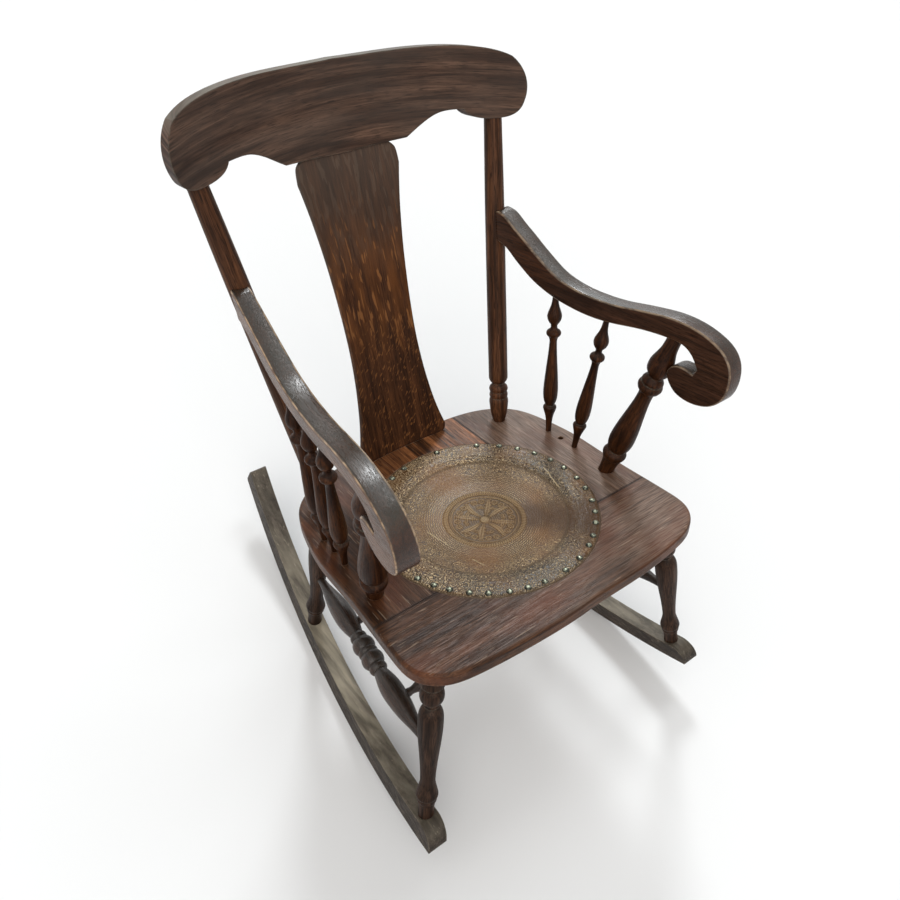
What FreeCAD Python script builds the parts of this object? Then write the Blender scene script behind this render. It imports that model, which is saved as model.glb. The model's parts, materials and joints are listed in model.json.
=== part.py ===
import FreeCAD, Part
import math
import os

# An antique oak rocking chair with a pressed leather seat.
# It is modelled in the frame of its seat, in millimetres: the origin is the centre of the
# leather disc on the seat boards' top, +Z is square to the boards, the chair faces -Y, and
# left is -X, as someone in front of the chair sees it. At the end the chair is tipped back to
# the angle at which it comes to rest on its rockers, and stood on the floor.

Vector = FreeCAD.Vector
LEFT = -1
RIGHT = 1
SIDES = {LEFT: "left", RIGHT: "right"}
UP = Vector(0, 0, 1)
ACROSS = Vector(1, 0, 0)

# Fits
glue_gap = 0.1
socket_spare = 0.4
seam_gap = 0.15
turned_land = 3.0
overrun = 12.0

# Densities, in kilograms per cubic millimetre, for the angle at which the chair rests
wood_density = 6.0e-7
leather_density = 9.0e-7
brass_density = 8.5e-6
steel_density = 7.85e-6

# Seat boards
seat_thickness = 22.0
seat_half_width = 270.0
seat_front_reach = 240.0
seat_back_reach = 250.0
seat_top_round = 5.0
seat_bottom_round = 3.0
seat_opening_radius = 150.0
front_board_joint = 92.0
back_board_half_width = 117.0
seat_outline_shares = [
    (0.0, -1.0),
    (0.4, -0.995),
    (0.7, -0.965),
    (0.9, -0.895),
    (0.985, -0.78),
    (1.0, -0.6),
    (0.985, -0.35),
    (0.966, 0.0),
    (0.955, 0.3),
    (0.91, 0.56),
    (0.835, 0.77),
    (0.7, 0.9),
    (0.5, 0.975),
    (0.25, 1.0),
]

# Leather disc and its nails
disc_radius = 183.0
disc_thickness = 3.5
disc_rebate = 1.2
disc_edge_gap = 0.3
disc_edge_round = 1.2
outer_band_radius = 133.0
medallion_radius = 67.0
medallion_inner_radius = 56.0
medallion_boss_radius = 8.0
medallion_boss_top_radius = 5.0
emboss_depth = 0.8
nail_circle_radius = 175.0
nail_head_radius = 5.2
nail_head_height = 2.6
nail_start_angle = -162.0
nail_even_pitch = 10.0
nail_gap_shares = [
    0.9, 0.8, 0.95, 0.9, 1.0, 0.9, 0.9, 1.3, 1.1, 1.05, 0.75, 1.0, 0.85, 0.9, 1.05, 0.95, 1.1,
    1.0, 1.05, 1.05, 1.05, 1.3, 2.35, 2.25, 1.05, 1.0, 1.1, 1.0, 1.05, 0.95, 1.1, 1.05,
]

# Rockers
rocker_radius = 1050.0
rocker_lowest = 362.0
rocker_centre_y = -25.0
rocker_depth = 34.0
rocker_width = 32.0
rocker_front_y = -244.0
rocker_rear_y = 548.0
rocker_nose_length = 30.0
rocker_nose_share = 0.62
rocker_end_round = 5.0
rocker_spread = 272.0
rocker_toe_in = 7.1
rocker_lean = 9.5

# Legs
leg_radius = 18.6
leg_tenon_radius = 10.0
leg_tenon_length = 13.0
foot_tenon_radius = 7.0
foot_tenon_length = 16.0
front_leg_top = Vector(222.7, -173.4, 0)
front_leg_foot = Vector(271.5, -201.5, -313.0)
rear_leg_top = Vector(196.0, 168.0, 0)
rear_leg_foot = Vector(217.0, 226.0, -296.0)
front_leg_strokes_shares = [
    [(0.0, 0.7), (0.05, 0.8), (0.1, 0.9), (0.125, 0.94)],
    [(0.125, 0.94), (0.14, 0.68)],
    [(0.14, 0.68), (0.155, 0.86), (0.185, 0.96), (0.215, 0.88), (0.235, 0.62)],
    [(0.235, 0.62), (0.247, 0.66), (0.258, 0.54)],
    [
        (0.258, 0.54),
        (0.272, 0.74),
        (0.3, 0.93),
        (0.345, 1.0),
        (0.45, 0.95),
        (0.58, 0.78),
        (0.69, 0.65),
        (0.747, 0.62),
    ],
    [(0.747, 0.62), (0.785, 0.66), (0.82, 0.78), (0.848, 0.88)],
    [(0.848, 0.88), (0.862, 0.91), (0.875, 0.86)],
    [(0.875, 0.78), (0.893, 0.82), (0.912, 0.72)],
    [(0.912, 0.72), (0.94, 0.66), (0.97, 0.64), (1.0, 0.66)],
]
rear_leg_strokes_shares = [
    [(0.0, 0.68), (0.1, 0.84), (0.22, 0.95), (0.36, 0.96), (0.52, 0.8), (0.65, 0.65), (0.72, 0.62)],
    [(0.72, 0.62), (0.765, 0.66), (0.805, 0.78), (0.835, 0.88)],
    [(0.835, 0.88), (0.85, 0.91), (0.864, 0.86)],
    [(0.864, 0.78), (0.883, 0.82), (0.903, 0.72)],
    [(0.903, 0.72), (0.935, 0.66), (0.965, 0.64), (1.0, 0.66)],
]

# Stretchers
front_leg_joint_drop = 178.0
rear_leg_joint_drop = 167.0
side_stretcher_radius = 18.2
side_tenon_length = 11.0
side_stretcher_strokes_shares = [
    [(0.0, 0.36), (0.06, 0.5), (0.14, 0.78), (0.22, 0.94), (0.28, 0.95), (0.34, 0.78), (0.385, 0.56)],
    [(0.385, 0.62), (0.402, 0.76), (0.419, 0.64)],
    [(0.419, 0.64), (0.431, 0.87), (0.457, 1.0), (0.48, 0.86), (0.487, 0.74)],
    [(0.487, 0.74), (0.5, 0.88), (0.513, 0.74)],
    [(0.513, 0.74), (0.52, 0.86), (0.543, 1.0), (0.569, 0.87), (0.581, 0.64)],
    [(0.581, 0.64), (0.598, 0.8), (0.615, 0.62)],
    [(0.615, 0.56), (0.66, 0.78), (0.72, 0.95), (0.78, 0.94), (0.86, 0.78), (0.94, 0.5), (1.0, 0.36)],
]
cross_stretcher_shares = {"front": 0.755, "rear": 0.33}
cross_stretcher_radius = 11.0
cross_tenon_length = 9.0
cross_stretcher_strokes_shares = [
    [(0.0, 0.62), (0.03, 0.72), (0.05, 0.95), (0.07, 0.72)],
    [(0.07, 0.72), (0.25, 0.88), (0.5, 1.0), (0.75, 0.88), (0.93, 0.72)],
    [(0.93, 0.72), (0.95, 0.95), (0.97, 0.72), (1.0, 0.62)],
]

# Back posts
post_foot = Vector(180.0, 186.0, 0)
post_top = Vector(245.8, 291.5, 493.4)
post_radius = 17.0
post_tenon_radius = 10.0
post_tenon_length = 13.0
post_top_tenon_radius = 8.0
post_top_tenon_length = 20.0
post_strokes_shares = [
    [(0.0, 0.79), (0.025, 0.95), (0.045, 1.0), (0.064, 0.94)],
    [(0.064, 0.84), (0.0725, 0.95), (0.081, 0.84)],
    [(0.081, 0.76), (0.089, 0.86), (0.097, 0.8)],
    [(0.097, 0.8), (0.118, 0.99)],
    [(0.118, 0.99), (0.3, 0.985), (0.5, 0.97), (0.75, 0.94), (1.0, 0.84)],
]

# Crest rail
crest_bend_radius = 540.0
crest_thickness = 22.0
crest_front_y = 333.0
crest_lean = 5.7
crest_half_width = 286.0
crest_bottom = 481.0
crest_height = 129.0
crest_lobe_shares = [(0.36, 0.03), (0.44, 0.14), (0.49, 0.2), (0.55, 0.25), (0.605, 0.262), (0.682, 0.255)]
crest_ear_shares = [(0.682, 0.255), (0.71, 0.18), (0.76, 0.13), (0.84, 0.105), (0.93, 0.13), (0.985, 0.27)]
crest_end_shares = [(0.985, 0.27), (1.0, 0.5), (0.935, 0.79)]
crest_top_shares = [(0.935, 0.79), (0.86, 0.868), (0.75, 0.93), (0.6, 0.972), (0.36, 0.993), (0.0, 1.0)]

# Splat
splat_thickness = 8.0
splat_bend_radius = 700.0
splat_front_y = 225.2
splat_lean = 12.85
splat_half_width = 87.0
splat_height = 500.0
splat_tongue = 12.0
splat_tongue_inset = 6.0
splat_foot_shares = [(0.83, 0.0), (0.94, 0.012), (0.965, 0.04)]
splat_flare_shares = [(0.965, 0.04), (0.93, 0.085), (0.83, 0.13), (0.825, 0.17), (0.8, 0.2), (0.74, 0.225)]
splat_waist_shares = [(0.74, 0.225), (0.715, 0.31), (0.73, 0.42), (0.755, 0.54), (0.8, 0.66), (0.88, 0.79)]
splat_head_shares = [(0.88, 0.79), (0.96, 0.88), (1.0, 0.925), (0.94, 0.95), (0.83, 0.968)]
splat_tip_shares = [(0.83, 0.968), (0.8, 1.06)]

# Arms
arm_width = 30.0
arm_toe_out = 7.5
arm_lean = 8.0
arm_outset = 3.8
arm_height = 348.0
arm_front_y = -222.0
arm_back_y = 252.0
arm_base_z = 195.0
arm_round = 3.0
arm_cope_share = 0.97
arm_top_shares = [
    (1.0, 0.985),
    (0.96, 0.968),
    (0.905, 0.885),
    (0.86, 0.82),
    (0.79, 0.715),
    (0.7, 0.6),
    (0.61, 0.552),
    (0.52, 0.547),
    (0.44, 0.565),
    (0.35, 0.608),
    (0.25, 0.64),
    (0.17, 0.63),
    (0.1, 0.585),
    (0.045, 0.515),
    (0.012, 0.41),
    (0.0, 0.27),
    (0.012, 0.13),
    (0.05, 0.035),
    (0.11, 0.0),
    (0.165, 0.035),
    (0.2, 0.13),
    (0.207, 0.21),
    (0.185, 0.268),
    (0.15, 0.268),
    (0.125, 0.245),
]
arm_under_shares = [
    (0.12, 0.305),
    (0.15, 0.405),
    (0.19, 0.46),
    (0.25, 0.464),
    (0.34, 0.44),
    (0.45, 0.385),
    (0.53, 0.362),
    (0.61, 0.365),
    (0.7, 0.395),
    (0.79, 0.465),
    (0.87, 0.575),
    (0.935, 0.68),
    (1.0, 0.72),
]
arm_span = arm_back_y - arm_front_y
arm_rise = 172.0

# Arm spindles: each stands on the seat at its foot and enters the arm at its own place
thin_spindle_feet = {
    "rear": Vector(228.4, 105.6, 0),
    "middle": Vector(229.3, 73.8, 0),
    "front": Vector(231.4, 41.2, 0),
}
thin_spindle_heads = {
    "rear": Vector(243.3, 121.7, 262.0),
    "middle": Vector(249.5, 68.0, 259.0),
    "front": Vector(255.0, 14.0, 259.0),
}
missing_spindle = (RIGHT, "middle")
arm_tenon_length = 12.0
thin_spindle_radius = 12.8
thin_spindle_strokes_shares = [
    [(0.0, 0.37), (0.06, 0.44), (0.11, 0.58), (0.15, 0.82), (0.163, 0.89)],
    [(0.163, 0.89), (0.172, 0.92), (0.181, 0.86)],
    [(0.181, 0.86), (0.192, 0.58)],
    [
        (0.192, 0.58),
        (0.215, 0.8),
        (0.25, 0.95),
        (0.295, 1.0),
        (0.37, 0.93),
        (0.48, 0.75),
        (0.58, 0.58),
        (0.655, 0.49),
    ],
    [(0.655, 0.49), (0.675, 0.54), (0.69, 0.66), (0.7, 0.84)],
    [(0.7, 0.84), (0.717, 0.98), (0.734, 0.84)],
    [(0.734, 0.84), (0.745, 0.55)],
    [(0.745, 0.55), (0.763, 0.42), (0.784, 0.55)],
    [(0.784, 0.55), (0.806, 0.84), (0.832, 0.96), (0.86, 0.86), (0.9, 0.57), (0.94, 0.42), (1.0, 0.37)],
]
support_foot = Vector(230.0, -38.7, 0)
support_head = Vector(266.0, -113.0, 272.0)
support_radius = 20.8
support_strokes_shares = [
    [(0.0, 0.6), (0.06, 0.66), (0.1, 0.78), (0.125, 0.93), (0.135, 0.98)],
    [(0.135, 0.98), (0.146, 1.0), (0.157, 0.94)],
    [(0.157, 0.94), (0.17, 0.7)],
    [
        (0.17, 0.7),
        (0.195, 0.86),
        (0.235, 0.97),
        (0.282, 1.0),
        (0.36, 0.93),
        (0.46, 0.75),
        (0.55, 0.59),
        (0.61, 0.53),
    ],
    [(0.61, 0.53), (0.63, 0.56), (0.645, 0.66), (0.655, 0.77)],
    [(0.655, 0.77), (0.676, 0.88), (0.697, 0.77)],
    [(0.697, 0.77), (0.705, 0.62)],
    [(0.705, 0.62), (0.725, 0.53), (0.745, 0.6)],
    [(0.745, 0.6), (0.785, 0.8), (0.826, 0.89), (0.87, 0.8), (0.92, 0.58), (0.96, 0.42), (1.0, 0.37)],
]

# Fasteners
arm_screw_radius = 2.5
arm_screw_head_radius = 4.5
arm_screw_head_height = 3.0
arm_screw_grip = 26.0
dowel_radius = 4.0
dowel_length = 44.0
side_dowel_share = 0.84
back_dowel_share = 0.8


def mirrored(point, side):
    """A point given for the right side, on the side asked for."""
    return Vector(point.x * side, point.y, point.z)


def curve_through(points):
    """A straight edge through two points, an arc through three, or a smooth curve through more."""
    if len(points) == 2:
        return Part.LineSegment(points[0], points[1]).toShape()
    if len(points) == 3:
        return Part.Arc(points[0], points[1], points[2]).toShape()
    spline = Part.BSplineCurve()
    spline.interpolate(points)
    return spline.toShape()


def face_of(edges):
    """The flat face inside a closed run of edges."""
    return Part.Face(Part.Wire(Part.__sortEdges__(edges)))


def along(start, end, distance):
    """The point at a distance from the start of an axis towards its end."""
    direction = end.sub(start).normalize()
    return start.add(direction * distance)


def entry(start, end, blank):
    """Where the axis, run on past its end, first enters a blank."""
    ray = Part.LineSegment(start, along(start, end, 2 * end.sub(start).Length)).toShape()
    inside = ray.common(blank)
    return min((v.Point for v in inside.Vertexes), key=lambda p: p.sub(start).Length)


def rod(start, end, radius):
    """A plain round rod between two points."""
    return Part.makeCylinder(radius, end.sub(start).Length, start, end.sub(start))


def turned(start, end, radius, strokes_shares, run_on):
    """A piece turned on the lathe: its strokes give how far along it is, and how thick.

    A short straight land lies just inside each end, and the piece runs on past both at its
    ends' own thickness, either into sockets or to be cut to what it meets.
    """
    whole = end.sub(start).Length
    reach = whole - 2 * turned_land
    strokes = []
    for stroke in strokes_shares:
        strokes.append([Vector(r * radius, 0, turned_land + s * reach) for s, r in stroke])
    first = strokes[0][0]
    last = strokes[-1][-1]
    tip = whole + run_on
    edges = [
        curve_through([Vector(0, 0, -run_on), Vector(first.x, 0, -run_on)]),
        curve_through([Vector(first.x, 0, -run_on), first]),
    ]
    for number, stroke in enumerate(strokes):
        if number > 0:
            before = strokes[number - 1][-1]
            if stroke[0].sub(before).Length > glue_gap:
                edges.append(curve_through([before, stroke[0]]))
        edges.append(curve_through(stroke))
    edges.append(curve_through([last, Vector(last.x, 0, tip)]))
    edges.append(curve_through([Vector(last.x, 0, tip), Vector(0, 0, tip)]))
    edges.append(curve_through([Vector(0, 0, tip), Vector(0, 0, -run_on)]))
    solid = Part.Face(Part.Wire(edges)).revolve(Vector(0, 0, 0), UP, 360)
    solid.Placement = FreeCAD.Placement(start, FreeCAD.Rotation(UP, end.sub(start)))
    return solid


def shouldered(start, end, radius, strokes_shares, ends):
    """A turned piece cut off by what it meets, with a thinner tenon running on into each."""
    body = turned(start, end, radius, strokes_shares, overrun)
    for blank, tenon_radius, tenon_length, at_start in ends:
        body = body.cut(blank)
    body = largest(body)
    for blank, tenon_radius, tenon_length, at_start in ends:
        seat = start if at_start else end
        other = end if at_start else start
        body = body.fuse(rod(along(seat, other, overrun), along(seat, other, -tenon_length), tenon_radius))
    return body.removeSplitter()


def socket(seat, other, radius, depth):
    """The hole for a tenon that enters at a seat, away from the axis's other end."""
    return rod(along(seat, other, overrun), along(seat, other, -depth - socket_spare), radius + glue_gap)


def end_sockets(start, end, radius, strokes_shares, depth):
    """The two holes that a turned piece without shoulders goes into."""
    first_radius = radius * strokes_shares[0][0][1]
    last_radius = radius * strokes_shares[-1][-1][1]
    return socket(start, end, first_radius, depth), socket(end, start, last_radius, depth)


def largest(shape):
    """The one solid that is left of a piece after its cuts."""
    return max(shape.Solids, key=lambda piece: piece.Volume)


# The seat's blank, before it is cut into its four boards
def seat_outline_point(share_x, share_y):
    reach = seat_front_reach if share_y < 0 else seat_back_reach
    return Vector(share_x * seat_half_width, share_y * reach, 0)


right_outline = [seat_outline_point(x, y) for x, y in seat_outline_shares]
left_outline = [mirrored(p, LEFT) for p in reversed(right_outline[1:])]
outline_curve = Part.BSplineCurve()
outline_curve.interpolate(right_outline + left_outline, PeriodicFlag=True)
seat_face = Part.Face(Part.Wire([outline_curve.toShape()]))
seat_slab = seat_face.extrude(UP * -seat_thickness)
top_rims = [e for e in seat_slab.Edges if e.BoundBox.ZMin > -glue_gap]
seat_slab = seat_slab.makeFillet(seat_top_round, top_rims)
bottom_rims = [e for e in seat_slab.Edges if e.BoundBox.ZMax < glue_gap - seat_thickness]
seat_slab = seat_slab.makeFillet(seat_bottom_round, bottom_rims)

seat_underside = Part.makeBox(
    4 * seat_half_width,
    4 * seat_half_width,
    seat_thickness,
    Vector(-2 * seat_half_width, -2 * seat_half_width, -seat_thickness),
)


# The rockers' blanks
def rocker_arc_point(radius, y):
    """A point at a height y along the chair on an arc about the rockers' centre."""
    centre_z = rocker_radius - rocker_lowest
    reach = y - rocker_centre_y
    return Vector(0, y, centre_z - math.sqrt(radius * radius - reach * reach))


def rocker_side_face():
    """The rocker as cut from its plank, seen from the side."""
    top_radius = rocker_radius - rocker_depth
    tip = rocker_arc_point(rocker_radius, rocker_front_y)
    nose = rocker_arc_point(top_radius, rocker_front_y + rocker_nose_length)
    bulge = Vector(
        0,
        tip.y + (nose.y - tip.y) * (1 - rocker_nose_share) / 2,
        tip.z + (nose.z - tip.z) * rocker_nose_share,
    )
    rear = rocker_arc_point(rocker_radius, rocker_rear_y)
    centre = Vector(0, rocker_centre_y, rocker_radius - rocker_lowest)
    rear_top = centre.add(rear.sub(centre) * (top_radius / rocker_radius))
    under = rocker_arc_point(rocker_radius, rocker_centre_y)
    over = rocker_arc_point(top_radius, rocker_centre_y)
    edges = [
        Part.Arc(tip, under, rear).toShape(),
        Part.LineSegment(rear, rear_top).toShape(),
        Part.Arc(rear_top, over, nose).toShape(),
        Part.Arc(nose, bulge, tip).toShape(),
    ]
    return Part.Face(Part.Wire(edges))


def rocker_blank(side):
    """The rocker between its two leaning side faces, which draw together towards the rear."""
    face = rocker_side_face()
    face.translate(ACROSS * (-2 * rocker_spread))
    plank = face.extrude(ACROSS * (4 * rocker_spread))
    length = rocker_rear_y - rocker_front_y
    board = Part.makeBox(
        rocker_width,
        2 * length,
        2 * length,
        Vector(-rocker_width / 2, -length, -length),
    )
    board.rotate(Vector(0, 0, 0), Vector(0, 1, 0), -side * rocker_lean)
    board.rotate(Vector(0, 0, 0), UP, side * rocker_toe_in)
    board.translate(mirrored(Vector(rocker_spread, front_leg_foot.y, front_leg_foot.z), side))
    blank = largest(plank.common(board))
    corners = [e for e in blank.Edges if e.BoundBox.YMin > rocker_rear_y - rocker_depth]
    crossing = [e for e in corners if e.BoundBox.XLength > e.BoundBox.ZLength]
    return blank.makeFillet(rocker_end_round, crossing)


rocker_blanks = {side: rocker_blank(side) for side in SIDES}


# Legs, between the seat's underside and the rockers' top
def leg_line(side, top, foot):
    """The leg's axis from the seat's underside to the rocker."""
    upper = mirrored(top, side)
    lower = mirrored(foot, side)
    share = seat_thickness / abs(lower.z)
    start = upper.add(lower.sub(upper) * share)
    return start, entry(start, lower, rocker_blanks[side])


leg_kinds = {
    "front": (front_leg_top, front_leg_foot, front_leg_strokes_shares),
    "rear": (rear_leg_top, rear_leg_foot, rear_leg_strokes_shares),
}
legs = {}
leg_axes = {}
for side in SIDES:
    for place, (top, foot, strokes_shares) in leg_kinds.items():
        start, end = leg_line(side, top, foot)
        ends = [
            (seat_underside, leg_tenon_radius, leg_tenon_length, True),
            (rocker_blanks[side], foot_tenon_radius, foot_tenon_length, False),
        ]
        legs[place, side] = shouldered(start, end, leg_radius, strokes_shares, ends)
        leg_axes[place, side] = (start, end)
        foot_hole = socket(end, start, foot_tenon_radius, foot_tenon_length)
        rocker_blanks[side] = rocker_blanks[side].cut(foot_hole)
        seat_slab = seat_slab.cut(socket(start, end, leg_tenon_radius, leg_tenon_length))


# Side stretchers from rear leg to front leg, and cross stretchers between them
def at_drop(axis, drop):
    """The place on a leg's axis at a drop below the seat's top."""
    start, end = axis
    share = (drop + start.z) / (start.z - end.z)
    return start.add(end.sub(start) * share)


def stretcher_seats(start, end, blanks):
    """Where an axis leaves the piece at its start, and where it enters the one at its end."""
    middle = start.add(end) * 0.5
    return entry(middle, start, blanks[0]), entry(middle, end, blanks[1])


side_stretchers = {}
side_axes = {}
for side in SIDES:
    rear_point = at_drop(leg_axes["rear", side], rear_leg_joint_drop)
    front_point = at_drop(leg_axes["front", side], front_leg_joint_drop)
    blanks = (legs["rear", side], legs["front", side])
    start, end = stretcher_seats(rear_point, front_point, blanks)
    turning = (start, end, side_stretcher_radius, side_stretcher_strokes_shares, side_tenon_length)
    side_stretchers[side] = turned(*turning)
    side_axes[side] = (rear_point, front_point)
    rear_hole, front_hole = end_sockets(*turning)
    legs["rear", side] = largest(legs["rear", side].cut(rear_hole))
    legs["front", side] = largest(legs["front", side].cut(front_hole))

cross_stretchers = {}
for place, share in cross_stretcher_shares.items():
    points = []
    for rear_point, front_point in side_axes.values():
        points.append(rear_point.add(front_point.sub(rear_point) * share))
    start, end = stretcher_seats(points[0], points[1], tuple(side_stretchers.values()))
    turning = (start, end, cross_stretcher_radius, cross_stretcher_strokes_shares, cross_tenon_length)
    cross_stretchers[place] = turned(*turning)
    for side, hole in zip(SIDES, end_sockets(*turning)):
        side_stretchers[side] = largest(side_stretchers[side].cut(hole))


# The crest rail: a bent board, band-sawn to its outline
def crest_point(share_x, share_z, depth):
    return Vector(share_x * crest_half_width, depth, crest_bottom + share_z * crest_height)


def crest_outline(depth):
    """Half the outline's edges for each side of the middle, in one flat plane."""
    edges = []
    for side in SIDES:
        middle = crest_point(0, 0, depth)
        for shares in (
            [(0.0, 0.0), crest_lobe_shares[0]],
            crest_lobe_shares,
            crest_ear_shares,
            crest_end_shares,
            crest_top_shares,
        ):
            points = [mirrored(crest_point(x, z, depth), side) for x, z in shares]
            edges.append(curve_through(points))
    return edges


def bent_board(bend_radius, thickness, front_y, half_width, bottom, top):
    """A board bent about an upright axis in front of it, its face's middle at front_y."""
    centre = Vector(0, front_y - bend_radius, bottom)
    height = top - bottom
    outer = Part.makeCylinder(bend_radius + thickness, height, centre, UP)
    inner = Part.makeCylinder(bend_radius, height, centre, UP)
    slab = Part.makeBox(2 * half_width, 2 * bend_radius, height, Vector(-half_width, centre.y, bottom))
    return outer.cut(inner).common(slab)


def crest_blank():
    """The crest rail before its sockets are bored."""
    outline = face_of(crest_outline(-overrun))
    plank = outline.extrude(Vector(0, 2 * crest_front_y, 0))
    board = bent_board(
        crest_bend_radius,
        crest_thickness,
        crest_front_y,
        crest_half_width + overrun,
        crest_bottom - overrun,
        crest_bottom + crest_height + overrun,
    )
    return largest(plank.common(board))


crest = crest_blank()
crest.rotate(Vector(0, crest_front_y, crest_bottom), ACROSS, -crest_lean)
crest_plain = crest.copy()


# Back posts, between the seat's top and the crest rail
posts = {}
post_axes = {}
for side in SIDES:
    start = mirrored(post_foot, side)
    end = entry(start, mirrored(post_top, side), crest_plain)
    ends = [
        (seat_underside, post_tenon_radius, post_tenon_length, True),
        (crest_plain, post_top_tenon_radius, post_top_tenon_length, False),
    ]
    posts[side] = shouldered(start, end, post_radius, post_strokes_shares, ends)
    post_axes[side] = (start, end)
    crest = crest.cut(socket(end, start, post_top_tenon_radius, post_top_tenon_length))
    seat_slab = seat_slab.cut(socket(start, end, post_tenon_radius, post_tenon_length))


# The splat: a thin bent board held by a tongue in the seat and another in the crest rail
def splat_point(share_x, share_z):
    return Vector(share_x * splat_half_width, -overrun, share_z * splat_height)


def splat_board(inset, top_z):
    """The bent board that the splat, its tongues and their grooves are all cut from."""
    board = bent_board(
        splat_bend_radius - inset,
        splat_thickness + 2 * inset,
        splat_front_y - inset,
        splat_half_width,
        -2 * splat_tongue,
        top_z,
    )
    board.rotate(Vector(0, splat_front_y, 0), ACROSS, -splat_lean)
    return board


def splat_shape():
    edges = []
    for side in SIDES:
        for shares in (
            [(0.0, 0.0), splat_foot_shares[0]],
            splat_foot_shares,
            splat_flare_shares,
            splat_waist_shares,
            splat_head_shares,
            splat_tip_shares,
            [splat_tip_shares[-1], (0.0, splat_tip_shares[-1][1])],
        ):
            points = [mirrored(splat_point(x, z), side) for x, z in shares]
            edges.append(curve_through(points))
    return face_of(edges).extrude(Vector(0, 2 * splat_height, 0))


splat_top = splat_height * 1.2
splat = splat_shape().common(splat_board(0, splat_top))
splat = largest(splat.cut(crest_plain).cut(seat_underside))

tongue_half_width = splat_foot_shares[0][0] * splat_half_width - splat_tongue_inset
tongue_column = Part.makeBox(
    2 * tongue_half_width,
    2 * splat_height,
    2 * splat_height,
    Vector(-tongue_half_width, -overrun, -splat_tongue),
)
groove_column = Part.makeBox(
    2 * (tongue_half_width + glue_gap),
    2 * splat_height,
    2 * splat_height,
    Vector(-tongue_half_width - glue_gap, -overrun, -splat_tongue - socket_spare),
)
lifted_crest = crest_plain.copy()
lifted_crest.translate(Vector(0, 0, splat_tongue))
deeper_crest = crest_plain.copy()
deeper_crest.translate(Vector(0, 0, splat_tongue + socket_spare))
tongues = splat_board(0, splat_top).common(tongue_column)
grooves = splat_board(glue_gap, splat_top).common(groove_column)
tongues = tongues.cut(lifted_crest)
grooves = grooves.cut(deeper_crest)
tongues = max(tongues.Solids, key=lambda piece: -piece.BoundBox.ZMin)
grooves = max(grooves.Solids, key=lambda piece: -piece.BoundBox.ZMin)
splat = splat.fuse(tongues).removeSplitter()
crest = largest(crest.cut(grooves))
seat_slab = largest(seat_slab.cut(grooves))


# Arms: each is sawn from a board that leans outward, and coped to its post
def arm_plane_x(side, y, z):
    """Where the middle of the arm's board lies across the chair at a place seen from the side."""
    start, end = post_axes[side]
    post_point = start.add(end.sub(start) * (arm_height / end.z))
    out = abs(post_point.x) + arm_outset
    out += math.tan(math.radians(arm_lean)) * (z - arm_height)
    out -= math.tan(math.radians(arm_toe_out)) * (y - post_point.y)
    return side * out


def arm_point(side, share_y, share_z):
    y = arm_front_y + share_y * arm_span
    z = arm_base_z + share_z * arm_rise
    return Vector(arm_plane_x(side, y, z) - arm_width / 2, y, z)


def arm_blank(side):
    top = [arm_point(side, y, z) for y, z in arm_top_shares]
    under = [arm_point(side, y, z) for y, z in arm_under_shares]
    edges = [
        curve_through(top),
        curve_through([top[-1], under[0]]),
        curve_through(under),
        curve_through([under[-1], top[0]]),
    ]
    return Part.Face(Part.Wire(edges)).extrude(ACROSS * arm_width)


arms = {}
for side in SIDES:
    start, end = post_axes[side]
    clear_post = rod(start, end, post_radius * arm_cope_share + glue_gap)
    arms[side] = largest(arm_blank(side).cut(clear_post))


# Arm spindles and supports, between the seat and the arm
def heads_of(side, foot, head):
    start = mirrored(foot, side)
    return start, entry(start, mirrored(head, side), arms_plain[side])


arms_plain = {side: arms[side].copy() for side in SIDES}
spindles = {}
for side in SIDES:
    turnings = {"support": (support_foot, support_head, support_radius, support_strokes_shares)}
    for place, foot in thin_spindle_feet.items():
        head = thin_spindle_heads[place]
        turnings[place] = (foot, head, thin_spindle_radius, thin_spindle_strokes_shares)
    for place, (foot, head, radius, strokes_shares) in turnings.items():
        start, end = heads_of(side, foot, head)
        if (side, place) != missing_spindle:
            spindles[side, place] = turned(start, end, radius, strokes_shares, arm_tenon_length)
        seat_hole, arm_hole = end_sockets(start, end, radius, strokes_shares, arm_tenon_length)
        seat_slab = seat_slab.cut(seat_hole)
        arms[side] = arms[side].cut(arm_hole)


# Screws that draw the arms to the posts, sunk in from behind
arm_screws = []
for side in SIDES:
    start, end = post_axes[side]
    axis_point = start.add(end.sub(start) * (arm_height / end.z))
    toe = math.radians(arm_toe_out)
    forward = Vector(side * math.sin(toe), -math.cos(toe), 0)
    back_face = axis_point.add(forward * -post_radius)
    head_seat = back_face.add(forward * arm_screw_head_height)
    tip = axis_point.add(forward * (post_radius + arm_screw_grip))
    shank = rod(back_face, tip, arm_screw_radius)
    head = Part.makeCone(
        arm_screw_head_radius, arm_screw_radius, 2 * arm_screw_head_height, back_face, forward
    )
    screw = shank.fuse(head).removeSplitter()
    arm_screws.append(screw)
    bore_start = back_face.add(forward * -overrun)
    bore = rod(bore_start, tip.add(forward * socket_spare), arm_screw_radius + glue_gap)
    sink = Part.makeCone(
        arm_screw_head_radius + glue_gap,
        arm_screw_radius + glue_gap,
        2 * arm_screw_head_height,
        back_face,
        forward,
    )
    mouth = rod(bore_start, back_face, arm_screw_head_radius + glue_gap)
    posts[side] = largest(posts[side].cut(bore.fuse(sink).fuse(mouth)))
    arms[side] = largest(arms[side].cut(bore))


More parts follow.
